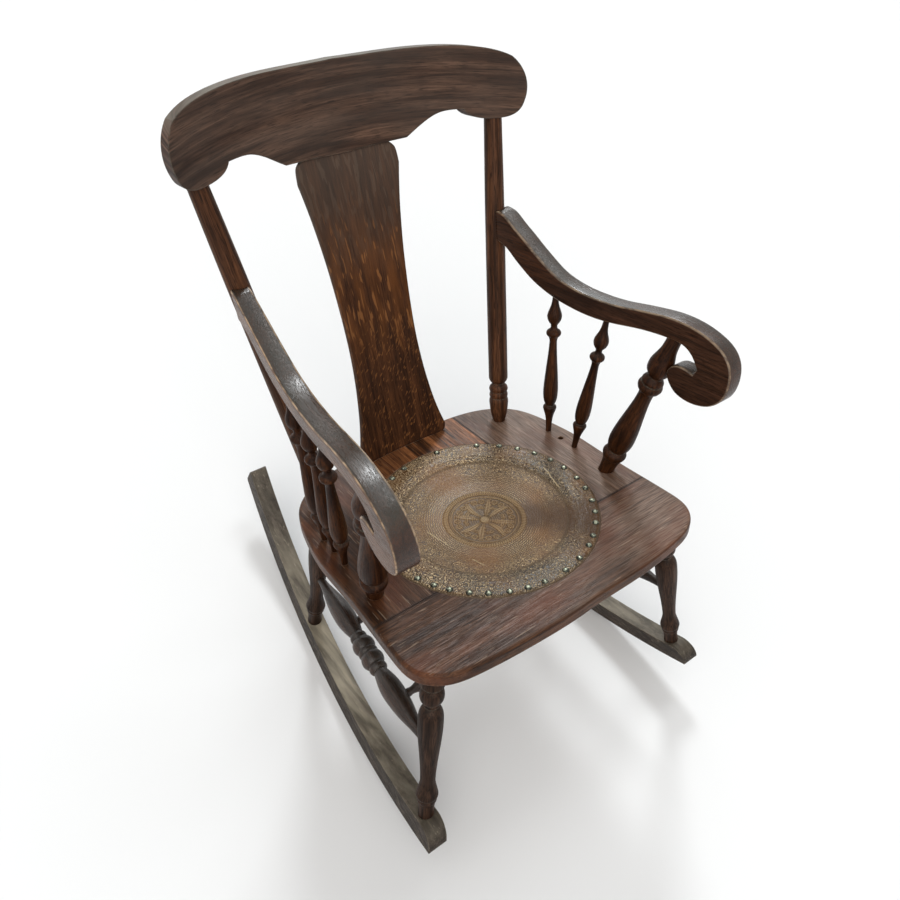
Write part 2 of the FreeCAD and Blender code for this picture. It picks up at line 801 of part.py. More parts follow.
# The seat is cut into its boards, with dowels across the joints
opening = Part.makeCylinder(
    seat_opening_radius, 2 * seat_thickness, Vector(0, 0, -1.5 * seat_thickness), UP
)
rebate = Part.makeCylinder(disc_radius + disc_edge_gap, 2 * disc_rebate, Vector(0, 0, -disc_rebate), UP)
dowel_axis_z = -seat_thickness / 2
seat_dowels = []
for side in SIDES:
    side_x = side * side_dowel_share * seat_half_width
    seat_dowels.append(
        rod(
            Vector(side_x, -front_board_joint - dowel_length / 2, dowel_axis_z),
            Vector(side_x, -front_board_joint + dowel_length / 2, dowel_axis_z),
            dowel_radius,
        )
    )
    back_y = back_dowel_share * seat_back_reach
    seat_dowels.append(
        rod(
            Vector(side * (back_board_half_width - dowel_length / 2), back_y, dowel_axis_z),
            Vector(side * (back_board_half_width + dowel_length / 2), back_y, dowel_axis_z),
            dowel_radius,
        )
    )
seat_slab = seat_slab.cut(opening).cut(rebate)
for dowel in seat_dowels:
    axis = dowel.CenterOfMass
    box = dowel.BoundBox
    run = Vector(dowel_length / 2 + socket_spare, 0, 0)
    if box.YLength > box.XLength:
        run = Vector(0, dowel_length / 2 + socket_spare, 0)
    seat_slab = seat_slab.cut(rod(axis.sub(run), axis.add(run), dowel_radius + glue_gap))


def seat_zone(x_low, x_high, y_low, y_high):
    """A block that holds one board's share of the seat."""
    return Part.makeBox(
        x_high - x_low,
        y_high - y_low,
        2 * seat_thickness,
        Vector(x_low, y_low, -1.5 * seat_thickness),
    )


far = 2 * seat_half_width
half_seam = seam_gap / 2
seat_boards = {
    "seat_front_board": seat_zone(-far, far, -far, -front_board_joint - half_seam),
    "seat_back_board": seat_zone(
        -back_board_half_width + half_seam, back_board_half_width - half_seam, 0, far
    ),
    "seat_side_board_left": seat_zone(
        -far, -back_board_half_width - half_seam, -front_board_joint + half_seam, far
    ),
    "seat_side_board_right": seat_zone(
        back_board_half_width + half_seam, far, -front_board_joint + half_seam, far
    ),
}


# The leather disc, with the rings that were pressed into it, and its nails
def leather_disc():
    top = disc_thickness - disc_rebate
    low = top - emboss_depth
    rise = emboss_depth
    profile = [
        Vector(0, 0, -disc_rebate),
        Vector(disc_radius, 0, -disc_rebate),
        Vector(disc_radius, 0, top - disc_edge_round),
        Vector(disc_radius - disc_edge_round, 0, top),
        Vector(outer_band_radius + rise, 0, top),
        Vector(outer_band_radius, 0, low),
        Vector(medallion_radius + rise, 0, low),
        Vector(medallion_radius, 0, top),
        Vector(medallion_radius - 2 * rise, 0, top),
        Vector(medallion_radius - 3 * rise, 0, low),
        Vector(medallion_inner_radius + rise, 0, low),
        Vector(medallion_inner_radius, 0, top),
        Vector(medallion_inner_radius - 2 * rise, 0, top),
        Vector(medallion_inner_radius - 3 * rise, 0, low),
        Vector(medallion_boss_radius, 0, low),
        Vector(medallion_boss_top_radius, 0, top),
        Vector(0, 0, top),
        Vector(0, 0, -disc_rebate),
    ]
    return Part.Face(Part.makePolygon(profile)).revolve(Vector(0, 0, 0), UP, 360)


def nail(angle):
    """One domed nail head on the leather."""
    dome_radius = (nail_head_radius**2 + nail_head_height**2) / (2 * nail_head_height)
    halfway = math.asin(nail_head_radius / dome_radius) / 2
    centre_z = nail_head_height - dome_radius
    rim = Vector(nail_head_radius, 0, 0)
    shoulder = Vector(dome_radius * math.sin(halfway), 0, centre_z + dome_radius * math.cos(halfway))
    crown = Vector(0, 0, nail_head_height)
    edges = [
        curve_through([Vector(0, 0, 0), rim]),
        curve_through([rim, shoulder, crown]),
        curve_through([crown, Vector(0, 0, 0)]),
    ]
    head = Part.Face(Part.Wire(edges)).revolve(Vector(0, 0, 0), UP, 360)
    reach = Vector(nail_circle_radius, 0, disc_thickness - disc_rebate)
    head.translate(reach)
    head.rotate(Vector(0, 0, 0), UP, angle)
    return head


nails = []
angle = nail_start_angle
nails.append(nail(angle))
for share in nail_gap_shares:
    angle += share * nail_even_pitch
    nails.append(nail(angle))


# Every node, with its density
nodes = {}
nodes["crest_rail"] = (crest, wood_density)
nodes["back_splat"] = (splat, wood_density)
for side, word in SIDES.items():
    nodes["back_post_" + word] = (posts[side], wood_density)
    nodes["arm_" + word] = (largest(arms[side]), wood_density)
    nodes["rocker_" + word] = (largest(rocker_blanks[side]), wood_density)
    nodes["side_stretcher_" + word] = (side_stretchers[side], wood_density)
    nodes["arm_support_" + word] = (spindles[side, "support"], wood_density)
    for place in leg_kinds:
        nodes["leg_" + place + "_" + word] = (legs[place, side], wood_density)
    for place in thin_spindle_feet:
        if (side, place) in spindles:
            nodes["arm_spindle_" + word + "_" + place] = (spindles[side, place], wood_density)
for place, piece in cross_stretchers.items():
    nodes["cross_stretcher_" + place] = (piece, wood_density)
for name, zone in seat_boards.items():
    nodes[name] = (largest(seat_slab.common(zone)), wood_density)
nodes["seat_dowels"] = (Part.makeCompound(seat_dowels), wood_density)
nodes["seat_leather_disc"] = (leather_disc(), leather_density)
nodes["seat_nails"] = (Part.makeCompound(nails), brass_density)
nodes["arm_screws"] = (Part.makeCompound(arm_screws), steel_density)


# The rest angle: the centre of mass hangs straight below the centre of the rockers' arc
def centre_of_mass():
    total = 0
    moment = Vector(0, 0, 0)
    for shape, density in nodes.values():
        for solid in shape.Solids:
            mass = solid.Volume * density
            total += mass
            moment = moment.add(solid.CenterOfMass * mass)
    return moment * (1 / total)


balance = centre_of_mass()
arc_centre = Vector(0, rocker_centre_y, rocker_radius - rocker_lowest)
rest_tilt = math.degrees(math.atan2(balance.y - arc_centre.y, arc_centre.z - balance.z))
tilted = FreeCAD.Placement(Vector(0, 0, 0), FreeCAD.Rotation(ACROSS, -rest_tilt), arc_centre)
floor_z = arc_centre.z - rocker_radius

placed = {}
box = FreeCAD.BoundBox()
for name, (shape, density) in nodes.items():
    moved = shape.copy()
    moved.Placement = tilted.multiply(moved.Placement)
    placed[name] = moved
    box.add(moved.BoundBox)
stand = Vector(-(box.XMin + box.XMax) / 2, -(box.YMin + box.YMax) / 2, -floor_z)

os.makedirs("parts", exist_ok=True)
for name, moved in placed.items():
    moved.translate(stand)
    moved.exportStep("parts/" + name + ".step")
print("rest tilt", round(rest_tilt, 3), "stand", stand, "balance", balance)
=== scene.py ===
import bpy
import json
import math
import numpy as np
from mathutils import Matrix, Vector


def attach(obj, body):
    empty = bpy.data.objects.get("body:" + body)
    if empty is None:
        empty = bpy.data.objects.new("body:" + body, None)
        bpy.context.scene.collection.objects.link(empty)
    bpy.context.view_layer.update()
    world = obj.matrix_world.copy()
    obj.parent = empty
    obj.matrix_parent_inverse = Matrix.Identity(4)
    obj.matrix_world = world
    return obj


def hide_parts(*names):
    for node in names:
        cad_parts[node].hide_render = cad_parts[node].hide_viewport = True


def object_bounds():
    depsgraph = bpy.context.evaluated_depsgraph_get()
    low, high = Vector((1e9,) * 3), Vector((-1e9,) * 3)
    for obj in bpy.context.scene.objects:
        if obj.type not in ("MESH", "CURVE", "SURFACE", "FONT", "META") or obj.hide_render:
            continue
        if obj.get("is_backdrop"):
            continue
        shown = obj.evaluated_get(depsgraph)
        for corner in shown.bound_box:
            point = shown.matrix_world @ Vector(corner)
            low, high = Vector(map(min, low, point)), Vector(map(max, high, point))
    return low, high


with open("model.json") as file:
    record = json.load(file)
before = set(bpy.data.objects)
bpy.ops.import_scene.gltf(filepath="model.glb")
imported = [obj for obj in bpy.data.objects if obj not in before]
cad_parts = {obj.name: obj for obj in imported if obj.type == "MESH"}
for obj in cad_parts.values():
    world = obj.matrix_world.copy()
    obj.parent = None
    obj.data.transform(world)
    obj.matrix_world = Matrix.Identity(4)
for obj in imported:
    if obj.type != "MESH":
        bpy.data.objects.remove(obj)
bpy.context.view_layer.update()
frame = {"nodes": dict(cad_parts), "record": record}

# The chair, tipped back as it rests on its rockers. Its seat has axes of its own: X across,
# Y towards the back and Z square to the boards, from the middle of the leather disc. They are
# found from the seat's flat face, which lies in front of that middle.
seat_face_reach = 0.215
seat_face = next(m for m in frame["record"]["mounts"] if m["name"] == "seat_top")
seat_up = Vector(seat_face["axis"])
seat_across = Vector((1, 0, 0))
seat_back = seat_up.cross(seat_across)
seat_middle = Vector(seat_face["pos_m"]) + seat_back * seat_face_reach
seat_axes = Matrix((seat_across, seat_back, seat_up)).transposed()
seat_place = Matrix.Translation(seat_middle) @ seat_axes.to_4x4()

# The camera, at the photograph's angle: high in front of the chair, on the viewer's left.
# Its place is given from the middle of the leather disc, along the seat's axes.
camera_place = Vector((-0.643821, -0.814661, 0.914479))
camera_azimuth = math.radians(-38.981)
camera_elevation = math.radians(37.478)
camera_roll = math.radians(0.452)
camera_lens = 34.853
camera_sensor = 36.0
camera_shift_x = -0.04762
camera_shift_y = 0.00408
bpy.ops.object.camera_add()
camera = bpy.context.object
camera.data.sensor_width = camera_sensor
camera.data.lens = camera_lens
camera.data.shift_x = camera_shift_x
camera.data.shift_y = camera_shift_y
swing = Matrix.Rotation(camera_azimuth, 4, "Z")
nod = Matrix.Rotation(math.pi / 2 - camera_elevation, 4, "X")
roll = Matrix.Rotation(camera_roll, 4, "Z")
camera.matrix_world = seat_place @ Matrix.Translation(camera_place) @ swing @ nod @ roll
bpy.context.scene.camera = camera

# The studio: a pale floor that keeps the chair's shadow, a dim surround, and five soft lights.
# The two windows stand high on the right and behind, and the arms' tops mirror them. Each light
# has the way to it, its strength, the degrees that it spreads over, and its tint.
floor_size = 40.0
floor_paint = (0.86, 0.86, 0.86, 1)
surround_light = (0.96, 0.98, 1.0, 1)
surround_strength = 0.3
surround_seen = (1, 1, 1, 1)
daylight = (0.94, 0.98, 1.0)
lights = {
    "window": ((0.5, 0.26, 0.83), 0.5, 20, daylight),
    "far_window": ((0.42, 0.64, 0.65), 1.1, 11, daylight),
    "back": ((0.5, 0.85, 0.42), 0.45, 30, daylight),
    "ceiling": ((-0.4, -0.3, 1.0), 1.0, 80, (1.0, 0.99, 0.97)),
    "front": ((-0.65, -0.85, 0.8), 1.2, 50, (1.0, 0.96, 0.91)),
}
bpy.context.scene.view_settings.view_transform = "Standard"
bpy.ops.mesh.primitive_plane_add(size=floor_size)
floor = bpy.context.object
floor.name = "floor"
floor_material = bpy.data.materials.new("floor_paint")
floor_material.use_nodes = True
floor_shader = floor_material.node_tree.nodes["Principled BSDF"]
floor_shader.inputs["Base Color"].default_value = floor_paint
floor_shader.inputs["Roughness"].default_value = 1.0
floor_shader.inputs["Specular IOR Level"].default_value = 0.0
floor.data.materials.append(floor_material)
floor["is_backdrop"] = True

# The surround lights the chair dimly, and is white to the camera and in whatever mirrors it.
world = bpy.data.worlds.new("surround")
bpy.context.scene.world = world
world.use_nodes = True
world_tree = world.node_tree
sky = world_tree.nodes["Background"]
sky.inputs["Color"].default_value = surround_light
sky.inputs["Strength"].default_value = surround_strength
white = world_tree.nodes.new("ShaderNodeBackground")
white.inputs["Color"].default_value = surround_seen
ray = world_tree.nodes.new("ShaderNodeLightPath")
choice = world_tree.nodes.new("ShaderNodeMixShader")
shown = world_tree.nodes.new("ShaderNodeMath")
shown.operation = "MAXIMUM"
mirrored = world_tree.nodes.new("ShaderNodeMath")
mirrored.operation = "MAXIMUM"
surround_links = [
    (ray.outputs["Is Glossy Ray"], mirrored.inputs[0]),
    (ray.outputs["Is Transmission Ray"], mirrored.inputs[1]),
    (ray.outputs["Is Camera Ray"], shown.inputs[0]),
    (mirrored.outputs["Value"], shown.inputs[1]),
    (shown.outputs["Value"], choice.inputs["Fac"]),
    (sky.outputs["Background"], choice.inputs[1]),
    (white.outputs["Background"], choice.inputs[2]),
    (choice.outputs["Shader"], world_tree.nodes["World Output"].inputs["Surface"]),
]
for start, end in surround_links:
    world_tree.links.new(start, end)

for light_name, (direction, strength, spread, tint) in lights.items():
    bpy.ops.object.light_add(type="SUN")
    light = bpy.context.object
    light.name = light_name
    light.data.energy = strength
    light.data.angle = math.radians(spread)
    light.data.color = tint
    light.rotation_euler = (-Vector(direction)).to_track_quat("-Z", "Y").to_euler()

# The crest rail: one broad oak board, steamed to its bend and band-sawn. The old finish is
# dark brown and dull, its streaks run the board's length, and the top edge is rubbed to grey.
# Cells are how many of a pattern's spots go to a metre, along the grain and across it.
band_cells = (5.0, 95.0)
line_cells = (17.0, 430.0)
pore_cells = (48.0, 900.0)
cloud_cells = (8.0, 15.0)
chip_cells = (55.0, 150.0)
patch_cells = (14.0, 40.0)
fleck_softness = 0.045
edge_softness = 0.003
grain_depth = 0.0006


def shader_part(tree, kind, sockets=None, **settings):
    """One part of a finish, with its settings, its sockets set or joined by name."""
    part = tree.nodes.new("ShaderNode" + kind)
    for name, value in settings.items():
        setattr(part, name, value)
    for name, value in (sockets or {}).items():
        if isinstance(value, bpy.types.NodeSocket):
            tree.links.new(value, part.inputs[name])
        else:
            part.inputs[name].default_value = value
    return part


def tones(tree, factor, stops):
    """A ramp of tones: each stop has its place from 0 to 1, and its colour or grey."""
    ramp = shader_part(tree, "ValToRGB", {"Fac": factor})
    elements = ramp.color_ramp.elements
    while len(elements) < len(stops):
        elements.new(0.5)
    for element, (place, tone) in zip(elements, stops):
        element.position = place
        element.color = (*tone, 1) if isinstance(tone, tuple) else (tone, tone, tone, 1)
    return ramp.outputs["Color"]


def layered(tree, factor, under, over, blend="MIX"):
    """One colour laid over another where the factor says."""
    sockets = {"Fac": factor, "Color1": under, "Color2": over}
    return shader_part(tree, "MixRGB", sockets, blend_type=blend).outputs["Color"]


def maths(tree, operation, first, second):
    """The result of a sum on two values."""
    return shader_part(tree, "Math", {0: first, 1: second}, operation=operation).outputs["Value"]


def vector_maths(tree, operation, first, second, result="Value"):
    """The result of a sum on two vectors, as a value or as a vector."""
    sockets = {0: first, 1: second}
    return shader_part(tree, "VectorMath", sockets, operation=operation).outputs[result]


def lean_towards(tree, direction):
    """How far the surface faces a direction, from 1 for straight at it to -1 for away."""
    normal = shader_part(tree, "NewGeometry").outputs["Normal"]
    return vector_maths(tree, "DOT_PRODUCT", normal, tuple(direction))


def noise(tree, place, scale, detail=2.0, twist=0.0):
    """Soft noise: how many of its cells go to a metre, how fine it is, and how it curls."""
    sockets = {"Vector": place, "Scale": scale, "Detail": detail, "Distortion": twist}
    return shader_part(tree, "TexNoise", sockets).outputs["Fac"]


def streaks(tree, grained, cells, detail=3.0, twist=0.0, slant=0.0):
    """Noise drawn out along the grain, or at a slant to it."""
    turned = shader_part(tree, "Mapping", {"Vector": grained, "Rotation": (0.0, slant, 0.0)})
    sockets = {"Vector": turned.outputs["Vector"], "Scale": (cells[0], cells[1], cells[1])}
    drawn = shader_part(tree, "Mapping", sockets).outputs["Vector"]
    return noise(tree, drawn, 1.0, detail, twist)


def bare_oak(name, grain, ground, light, seed, seen_along=(1, 1, 1)):
    """A stained oak finish, begun: its grain runs one way, in bands, streaks and dark pores.

    seen_along is 0 along an axis that the figure leaves out, as on a bent board, where the
    streaks would break up at the bend.
    """
    finish = bpy.data.materials.new(name)
    finish.use_nodes = True
    tree = finish.node_tree
    place = shader_part(tree, "TexCoord").outputs["Object"]
    read_place = vector_maths(tree, "MULTIPLY", place, seen_along, "Vector")
    grain_turn = Vector(grain).rotation_difference(Vector((1, 0, 0))).to_euler()
    sockets = {"Vector": read_place, "Rotation": grain_turn, "Location": (seed, seed, seed)}
    grained = shader_part(tree, "Mapping", sockets).outputs["Vector"]
    bands = streaks(tree, grained, band_cells, detail=4.0, twist=0.7)
    lines = streaks(tree, grained, line_cells)
    pores = streaks(tree, grained, pore_cells, detail=2.0)
    clouds = streaks(tree, grained, cloud_cells, twist=0.4)
    colour = tones(tree, bands, [(0.38, 0.0), (0.64, 1.0)])
    colour = layered(tree, colour, (*ground, 1), (*light, 1))
    colour = layered(tree, 1.0, colour, tones(tree, clouds, [(0.3, 0.68), (0.52, 1.0)]), "MULTIPLY")
    colour = layered(tree, 1.0, colour, tones(tree, lines, [(0.34, 0.5), (0.6, 1.0)]), "MULTIPLY")
    pits = tones(tree, pores, [(0.36, 0.75), (0.46, 0.0)])
    pit_tone = tuple(0.2 * tone for tone in ground)
    colour = layered(tree, pits, colour, (*pit_tone, 1))
    rounded = shader_part(tree, "Bevel", {"Radius": edge_softness}, samples=4).outputs["Normal"]
    face = shader_part(tree, "NewGeometry").outputs["Normal"]
    flatness = vector_maths(tree, "DOT_PRODUCT", rounded, face)
    return {
        "finish": finish,
        "tree": tree,
        "place": place,
        "grained": grained,
        "lines": lines,
        "pores": pores,
        "rounded": rounded,
        "edges": tones(tree, flatness, [(0.86, 1.0), (0.985, 0.0)]),
        "colour": colour,
    }


def overlaid(oak, mask, tone, amount):
    """A tone laid over the oak where a mask says, up to an amount."""
    factor = maths(oak["tree"], "MULTIPLY", mask, amount)
    oak["colour"] = layered(oak["tree"], factor, oak["colour"], (*tone, 1))


def rubbed(oak, tone, amount):
    """Edges rubbed through the stain, unevenly along their length."""
    tree = oak["tree"]
    chips = streaks(tree, oak["grained"], chip_cells, detail=4.0, twist=0.5)
    uneven = tones(tree, chips, [(0.38, 0.15), (0.6, 1.0)])
    overlaid(oak, maths(tree, "MULTIPLY", oak["edges"], uneven), tone, amount)


def flecked(oak, tone, cells, slant, start, amount, spread=None):
    """Short bright strokes of the wood's rays, at a slant to its grain."""
    tree = oak["tree"]
    strokes = streaks(tree, oak["grained"], cells, detail=1.0, twist=0.3, slant=slant)
    mask = tones(tree, strokes, [(start, 0.0), (start + fleck_softness, 1.0)])
    if spread is not None:
        mask = maths(tree, "MULTIPLY", mask, spread)
    overlaid(oak, mask, tone, amount)


def tone_facing_way(oak, direction, tone, amount, cells=patch_cells):
    """A tone on faces that look one way, in soft patches: paler, duller, dustier, or a painted
    sheen.
    """
    tree = oak["tree"]
    facing = tones(tree, lean_towards(tree, direction), [(0.45, 0.0), (0.85, 1.0)])
    patches = streaks(tree, oak["grained"], cells, detail=4.0, twist=0.3)
    patches = tones(tree, patches, [(0.36, 0.3), (0.62, 1.0)])
    overlaid(oak, maths(tree, "MULTIPLY", facing, patches), tone, amount)


def finished(oak, roughness, specular):
    """The oak's old varnish: duller along some streaks, with sunk pores, over softened edges."""
    tree = oak["tree"]
    shader = tree.nodes["Principled BSDF"]
    tree.links.new(oak["colour"], shader.inputs["Base Color"])
    rough = tones(tree, oak["lines"], [(0.3, roughness + 0.12), (0.7, roughness - 0.06)])
    tree.links.new(rough, shader.inputs["Roughness"])
    shader.inputs["Specular IOR Level"].default_value = specular
    pits = tones(tree, oak["pores"], [(0.36, 0.0), (0.48, 1.0)])
    height = layered(tree, 0.5, oak["lines"], pits)
    sockets = {
        "Height": height,
        "Strength": 0.4,
        "Distance": grain_depth,
        "Normal": oak["rounded"],
    }
    bump = shader_part(tree, "Bump", sockets)
    tree.links.new(bump.outputs["Normal"], shader.inputs["Normal"])
    return oak["finish"]


def dress(piece, finish):
    """Gives a piece its finish."""
    piece.data.materials.clear()
    piece.data.materials.append(finish)


# The chair's plain pieces, by name, before they are dressed or replaced
plain = frame["nodes"]
crest_ground = (0.036, 0.015, 0.008)
crest_light = (0.14, 0.075, 0.048)
crest_rubbed = (0.2, 0.185, 0.15)
crest_dull = (0.12, 0.095, 0.08)
crest_seen_along = (1, 0, 1)
crest_oak = bare_oak(
    "crest_oak", (1, 0, 0), crest_ground, crest_light, seed=0.0, seen_along=crest_seen_along
)
tone_facing_way(crest_oak, (0.2, -1, 0.2), crest_dull, amount=0.3, cells=(4.0, 22.0))
tone_facing_way(crest_oak, (0, 0, 1), crest_rubbed, amount=0.7)
rubbed(crest_oak, crest_rubbed, amount=0.6)
dress(plain["crest_rail"], finished(crest_oak, roughness=0.5, specular=0.12))

# The splat: a thin board of quarter-sawn oak, bent a little, and let into the crest rail and
# the seat. Its rays show as flecks, upright above and slanting across the foot, and round its
# middle the stain has kept its orange warmth.
splat_half_width = 0.087
splat_height = 0.5
splat_thickness = 0.008
splat_bend_radius = 0.7
splat_front = 0.2252
splat_lean = math.radians(12.85)
splat_edge_round = 0.001
splat_edge_angle = math.radians(60)
splat_columns = 16
board_crease = math.radians(35)
splat_foot_shares = [(0.83, 0.0), (0.955, 0.007), (0.985, 0.028)]
splat_side_shares = [
    (0.985, 0.028),
    (0.905, 0.078),
    (0.835, 0.135),
    (0.775, 0.205),
    (0.73, 0.285),
    (0.708, 0.37),
    (0.712, 0.46),
    (0.737, 0.56),
    (0.785, 0.67),
    (0.86, 0.78),
    (0.935, 0.86),
    (0.985, 0.905),
]
splat_head_shares = [(0.985, 0.905), (0.957, 0.948), (0.85, 0.968)]


def smooth_run(points, steps=5):
    """A smooth curve through a stroke's points, with a few steps from each to the next."""
    knots = np.array([points[0], *points, points[-1]], float)
    run = []
    for before, start, end, after in zip(knots, knots[1:], knots[2:], knots[3:]):
        for t in np.arange(steps) / steps:
            slope = (end - before) * t
            bend = (2 * before - 5 * start + 4 * end - after) * t**2
            twist = (3 * start - before - 3 * end + after) * t**3
            run.append(start + (slope + bend + twist) / 2)
    return [*run, knots[-1]]


def stand_for(piece, node_name):
    """Puts a finished piece in the place of a plain one."""
    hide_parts(node_name)
    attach(piece, "root")


splat_edge = smooth_run(splat_foot_shares)[:-1]
splat_edge += smooth_run(splat_side_shares)[:-1]
splat_edge += smooth_run(splat_head_shares)
splat_rows = len(splat_edge) - 1
bpy.ops.object.select_all(action="DESELECT")
bpy.ops.mesh.primitive_grid_add(x_subdivisions=splat_columns, y_subdivisions=splat_rows, size=2)
splat = bpy.context.object
splat.name = "vase_splat"
for vertex in splat.data.vertices:
    row = round((vertex.co.y + 1) / 2 * splat_rows)
    half_width, height = splat_edge[row]
    x = vertex.co.x * half_width * splat_half_width
    z = height * splat_height
    bow = math.sqrt(splat_bend_radius**2 - x**2) - splat_bend_radius
    vertex.co = (x, splat_front + bow / math.cos(splat_lean) + z * math.tan(splat_lean), z)
splat.data.transform(seat_place)
thickening = splat.modifiers.new("thickening", "SOLIDIFY")
thickening.thickness = splat_thickness
thickening.offset = -1.0
rounding = splat.modifiers.new("rounding", "BEVEL")
rounding.width = splat_edge_round
rounding.segments = 2
rounding.angle_limit = splat_edge_angle
for modifier_name in ("thickening", "rounding"):
    bpy.ops.object.modifier_apply(modifier=modifier_name)
bpy.ops.object.shade_smooth_by_angle(angle=board_crease)
stand_for(splat, "back_splat")

splat_ground = (0.042, 0.015, 0.006)
splat_light = (0.1, 0.038, 0.015)
splat_warm = (0.15, 0.052, 0.014)
splat_dull = (0.08, 0.06, 0.048)
splat_fleck = (0.27, 0.11, 0.036)
splat_pale_fleck = (0.13, 0.09, 0.065)
splat_fleck_slant = 0.05
splat_foot_slant = -0.65
splat_grain = seat_axes @ Vector((0, math.sin(splat_lean), math.cos(splat_lean)))
splat_oak = bare_oak("splat_oak", splat_grain, splat_ground, splat_light, seed=0.4)
tree = splat_oak["tree"]
over_floor = shader_part(tree, "SeparateXYZ", {"Vector": splat_oak["place"]}).outputs["Z"]
high = tones(tree, over_floor, [(0.6, 0.0), (0.77, 1.0)])
middle = tones(tree, over_floor, [(0.47, 0.1), (0.54, 1.0), (0.64, 1.0), (0.73, 0.0)])
low = tones(tree, over_floor, [(0.5, 1.0), (0.56, 0.0)])
warmth = streaks(tree, splat_oak["grained"], (9.0, 60.0), detail=4.0)
warmth = tones(tree, warmth, [(0.4, 0.0), (0.66, 1.0)])
overlaid(splat_oak, maths(tree, "MULTIPLY", middle, warmth), splat_warm, amount=0.6)
overlaid(splat_oak, high, splat_dull, amount=0.6)
flecked(splat_oak, splat_pale_fleck, (30.0, 170.0), splat_fleck_slant, 0.56, 0.35, high)
flecked(splat_oak, splat_fleck, (30.0, 240.0), splat_fleck_slant, 0.61, 0.6, middle)
flecked(splat_oak, splat_fleck, (34.0, 330.0), splat_foot_slant, 0.63, 0.5, low)
rubbed(splat_oak, crest_rubbed, amount=0.25)
dress(splat, finished(splat_oak, roughness=0.46, specular=0.1))

# The two back posts: turned oak with a barrel foot, a pair of rings and a long plain shaft,
# tenoned into the seat and the crest rail. Their grain runs along each post.
post_foot = (0.18, 0.186, 0.0)
post_head = (0.2458, 0.2915, 0.4934)
post_radius = 0.017
post_tenon = (0.02, 0.008)
post_strokes_shares = [
    [(0.0, 0.62), (0.012, 0.74), (0.03, 0.87), (0.055, 0.97), (0.073, 1.0), (0.083, 0.94)],
    [(0.083, 0.88), (0.094, 0.97), (0.105, 0.9)],
    [(0.105, 0.86), (0.116, 0.99), (0.127, 0.9)],
    [(0.127, 0.9), (0.136, 0.62)],
    [(0.136, 0.62), (0.145, 0.86), (0.155, 0.985)],
    [(0.155, 0.985), (0.3, 0.985), (0.5, 0.97), (0.75, 0.94), (1.0, 0.84)],
]
turned_ground = (0.04, 0.015, 0.006)
turned_light = (0.125, 0.05, 0.022)
turned_rubbed = (0.2, 0.19, 0.15)
# The greyish painted sheen laid on the turned pieces' upward faces
turned_top_sheen = (0.09, 0.08, 0.068)
turned_patch_cells = (20.0, 40.0)
turned_seed_step = 0.37
turned_crease = math.radians(40)
turned_weld = 0.00001
turning_cuts = 48
# How far the feet and the posts' heads sink into what carries them
foot_seat = 0.004
post_seat = 0.001
sides = {"left": -1, "right": 1}


def on_side(sign, *places):
    """Places on the chair's right, or the same ones on its left."""
    return [Vector((sign * x, y, z)) for x, y, z in places]


def stood_along(direction):
    """The turn that brings an upright piece to a direction."""
    return Vector((0, 0, 1)).rotation_difference(direction).to_matrix().to_4x4()


def turn_piece(piece_name, node_name, foot, head, radius, strokes_shares, tenon, head_seat):
    """A piece turned on the lathe, with a tenon, as long as the plain one it stands for.

    Each stroke of its profile gives how far up a point is and how far out, as shares.
    """
    tenon_length, tenon_radius = tenon
    run = (head - foot).normalized()
    to_seat = seat_place.inverted()
    tip = max((to_seat @ vertex.co - foot).dot(run) for vertex in plain[node_name].data.vertices)
    reach = tip - tenon_length
    shares = [point for stroke in strokes_shares for point in smooth_run(stroke)]
    points = [(share_out * radius, 0, share_up * reach) for share_up, share_out in shares]
    low = -foot_seat
    high = reach + head_seat
    crown_wear_and_highlight = [(points[-1][0], 0, high), (tenon_radius, 0, high), (tenon_radius, 0, tip), (0, 0, tip)]
    points = [(0, 0, low), (points[0][0], 0, low), *points, *crown_wear_and_highlight]
    profile = bpy.data.meshes.new(piece_name)
    profile.from_pydata(points, [(k, k + 1) for k in range(len(points) - 1)], [])
    piece = bpy.data.objects.new(piece_name, profile)
    bpy.context.collection.objects.link(piece)
    bpy.ops.object.select_all(action="DESELECT")
    bpy.context.view_layer.objects.active = piece
    piece.select_set(True)
    bpy.ops.object.mode_set(mode="EDIT")
    bpy.ops.mesh.select_all(action="SELECT")
    bpy.ops.mesh.spin(steps=turning_cuts, angle=math.tau, center=(0, 0, 0), axis=(0, 0, 1))
    bpy.ops.mesh.select_all(action="SELECT")
    bpy.ops.mesh.remove_doubles(threshold=turned_weld)
    bpy.ops.mesh.normals_make_consistent(inside=False)
    bpy.ops.object.mode_set(mode="OBJECT")
    bpy.ops.object.shade_smooth_by_angle(angle=turned_crease)
    piece.data.transform(seat_place @ Matrix.Translation(foot) @ stood_along(run))
    stand_for(piece, node_name)
    return piece


def run_of(piece):
    """The direction in which a long piece runs, from the spread of its own points."""
    points = np.array([v.co for v in piece.data.vertices])
    spread = np.linalg.svd(points - points.mean(0), full_matrices=False)[2]
    return Vector(spread[0])


def dress_turned(pieces, ground, light, first_seed, roughness, specular=0.1, top_sheen=0.12):
    """Turned pieces, each with its own stretch of grain, painted sheen on top, rubbed rings."""
    for number, piece in enumerate(pieces):
        seed = first_seed + turned_seed_step * number
        oak = bare_oak(piece.name + "_oak", run_of(piece), ground, light, seed)
        # Greyish painted sheen on the faces that look up.
        tone_facing_way(oak, (0.1, 0.1, 1), turned_top_sheen, top_sheen, turned_patch_cells)
        rubbed(oak, turned_rubbed, amount=0.5)
        dress(piece, finished(oak, roughness, specular))


posts = []
for side, sign in sides.items():
    foot, head = on_side(sign, post_foot, post_head)
    names = ("turned_post_" + side, "back_post_" + side)
    shape = (foot, head, post_radius, post_strokes_shares, post_tenon, post_seat)
    posts.append(turn_piece(*names, *shape))
dress_turned(posts, turned_ground, turned_light, first_seed=1.0, roughness=0.4)
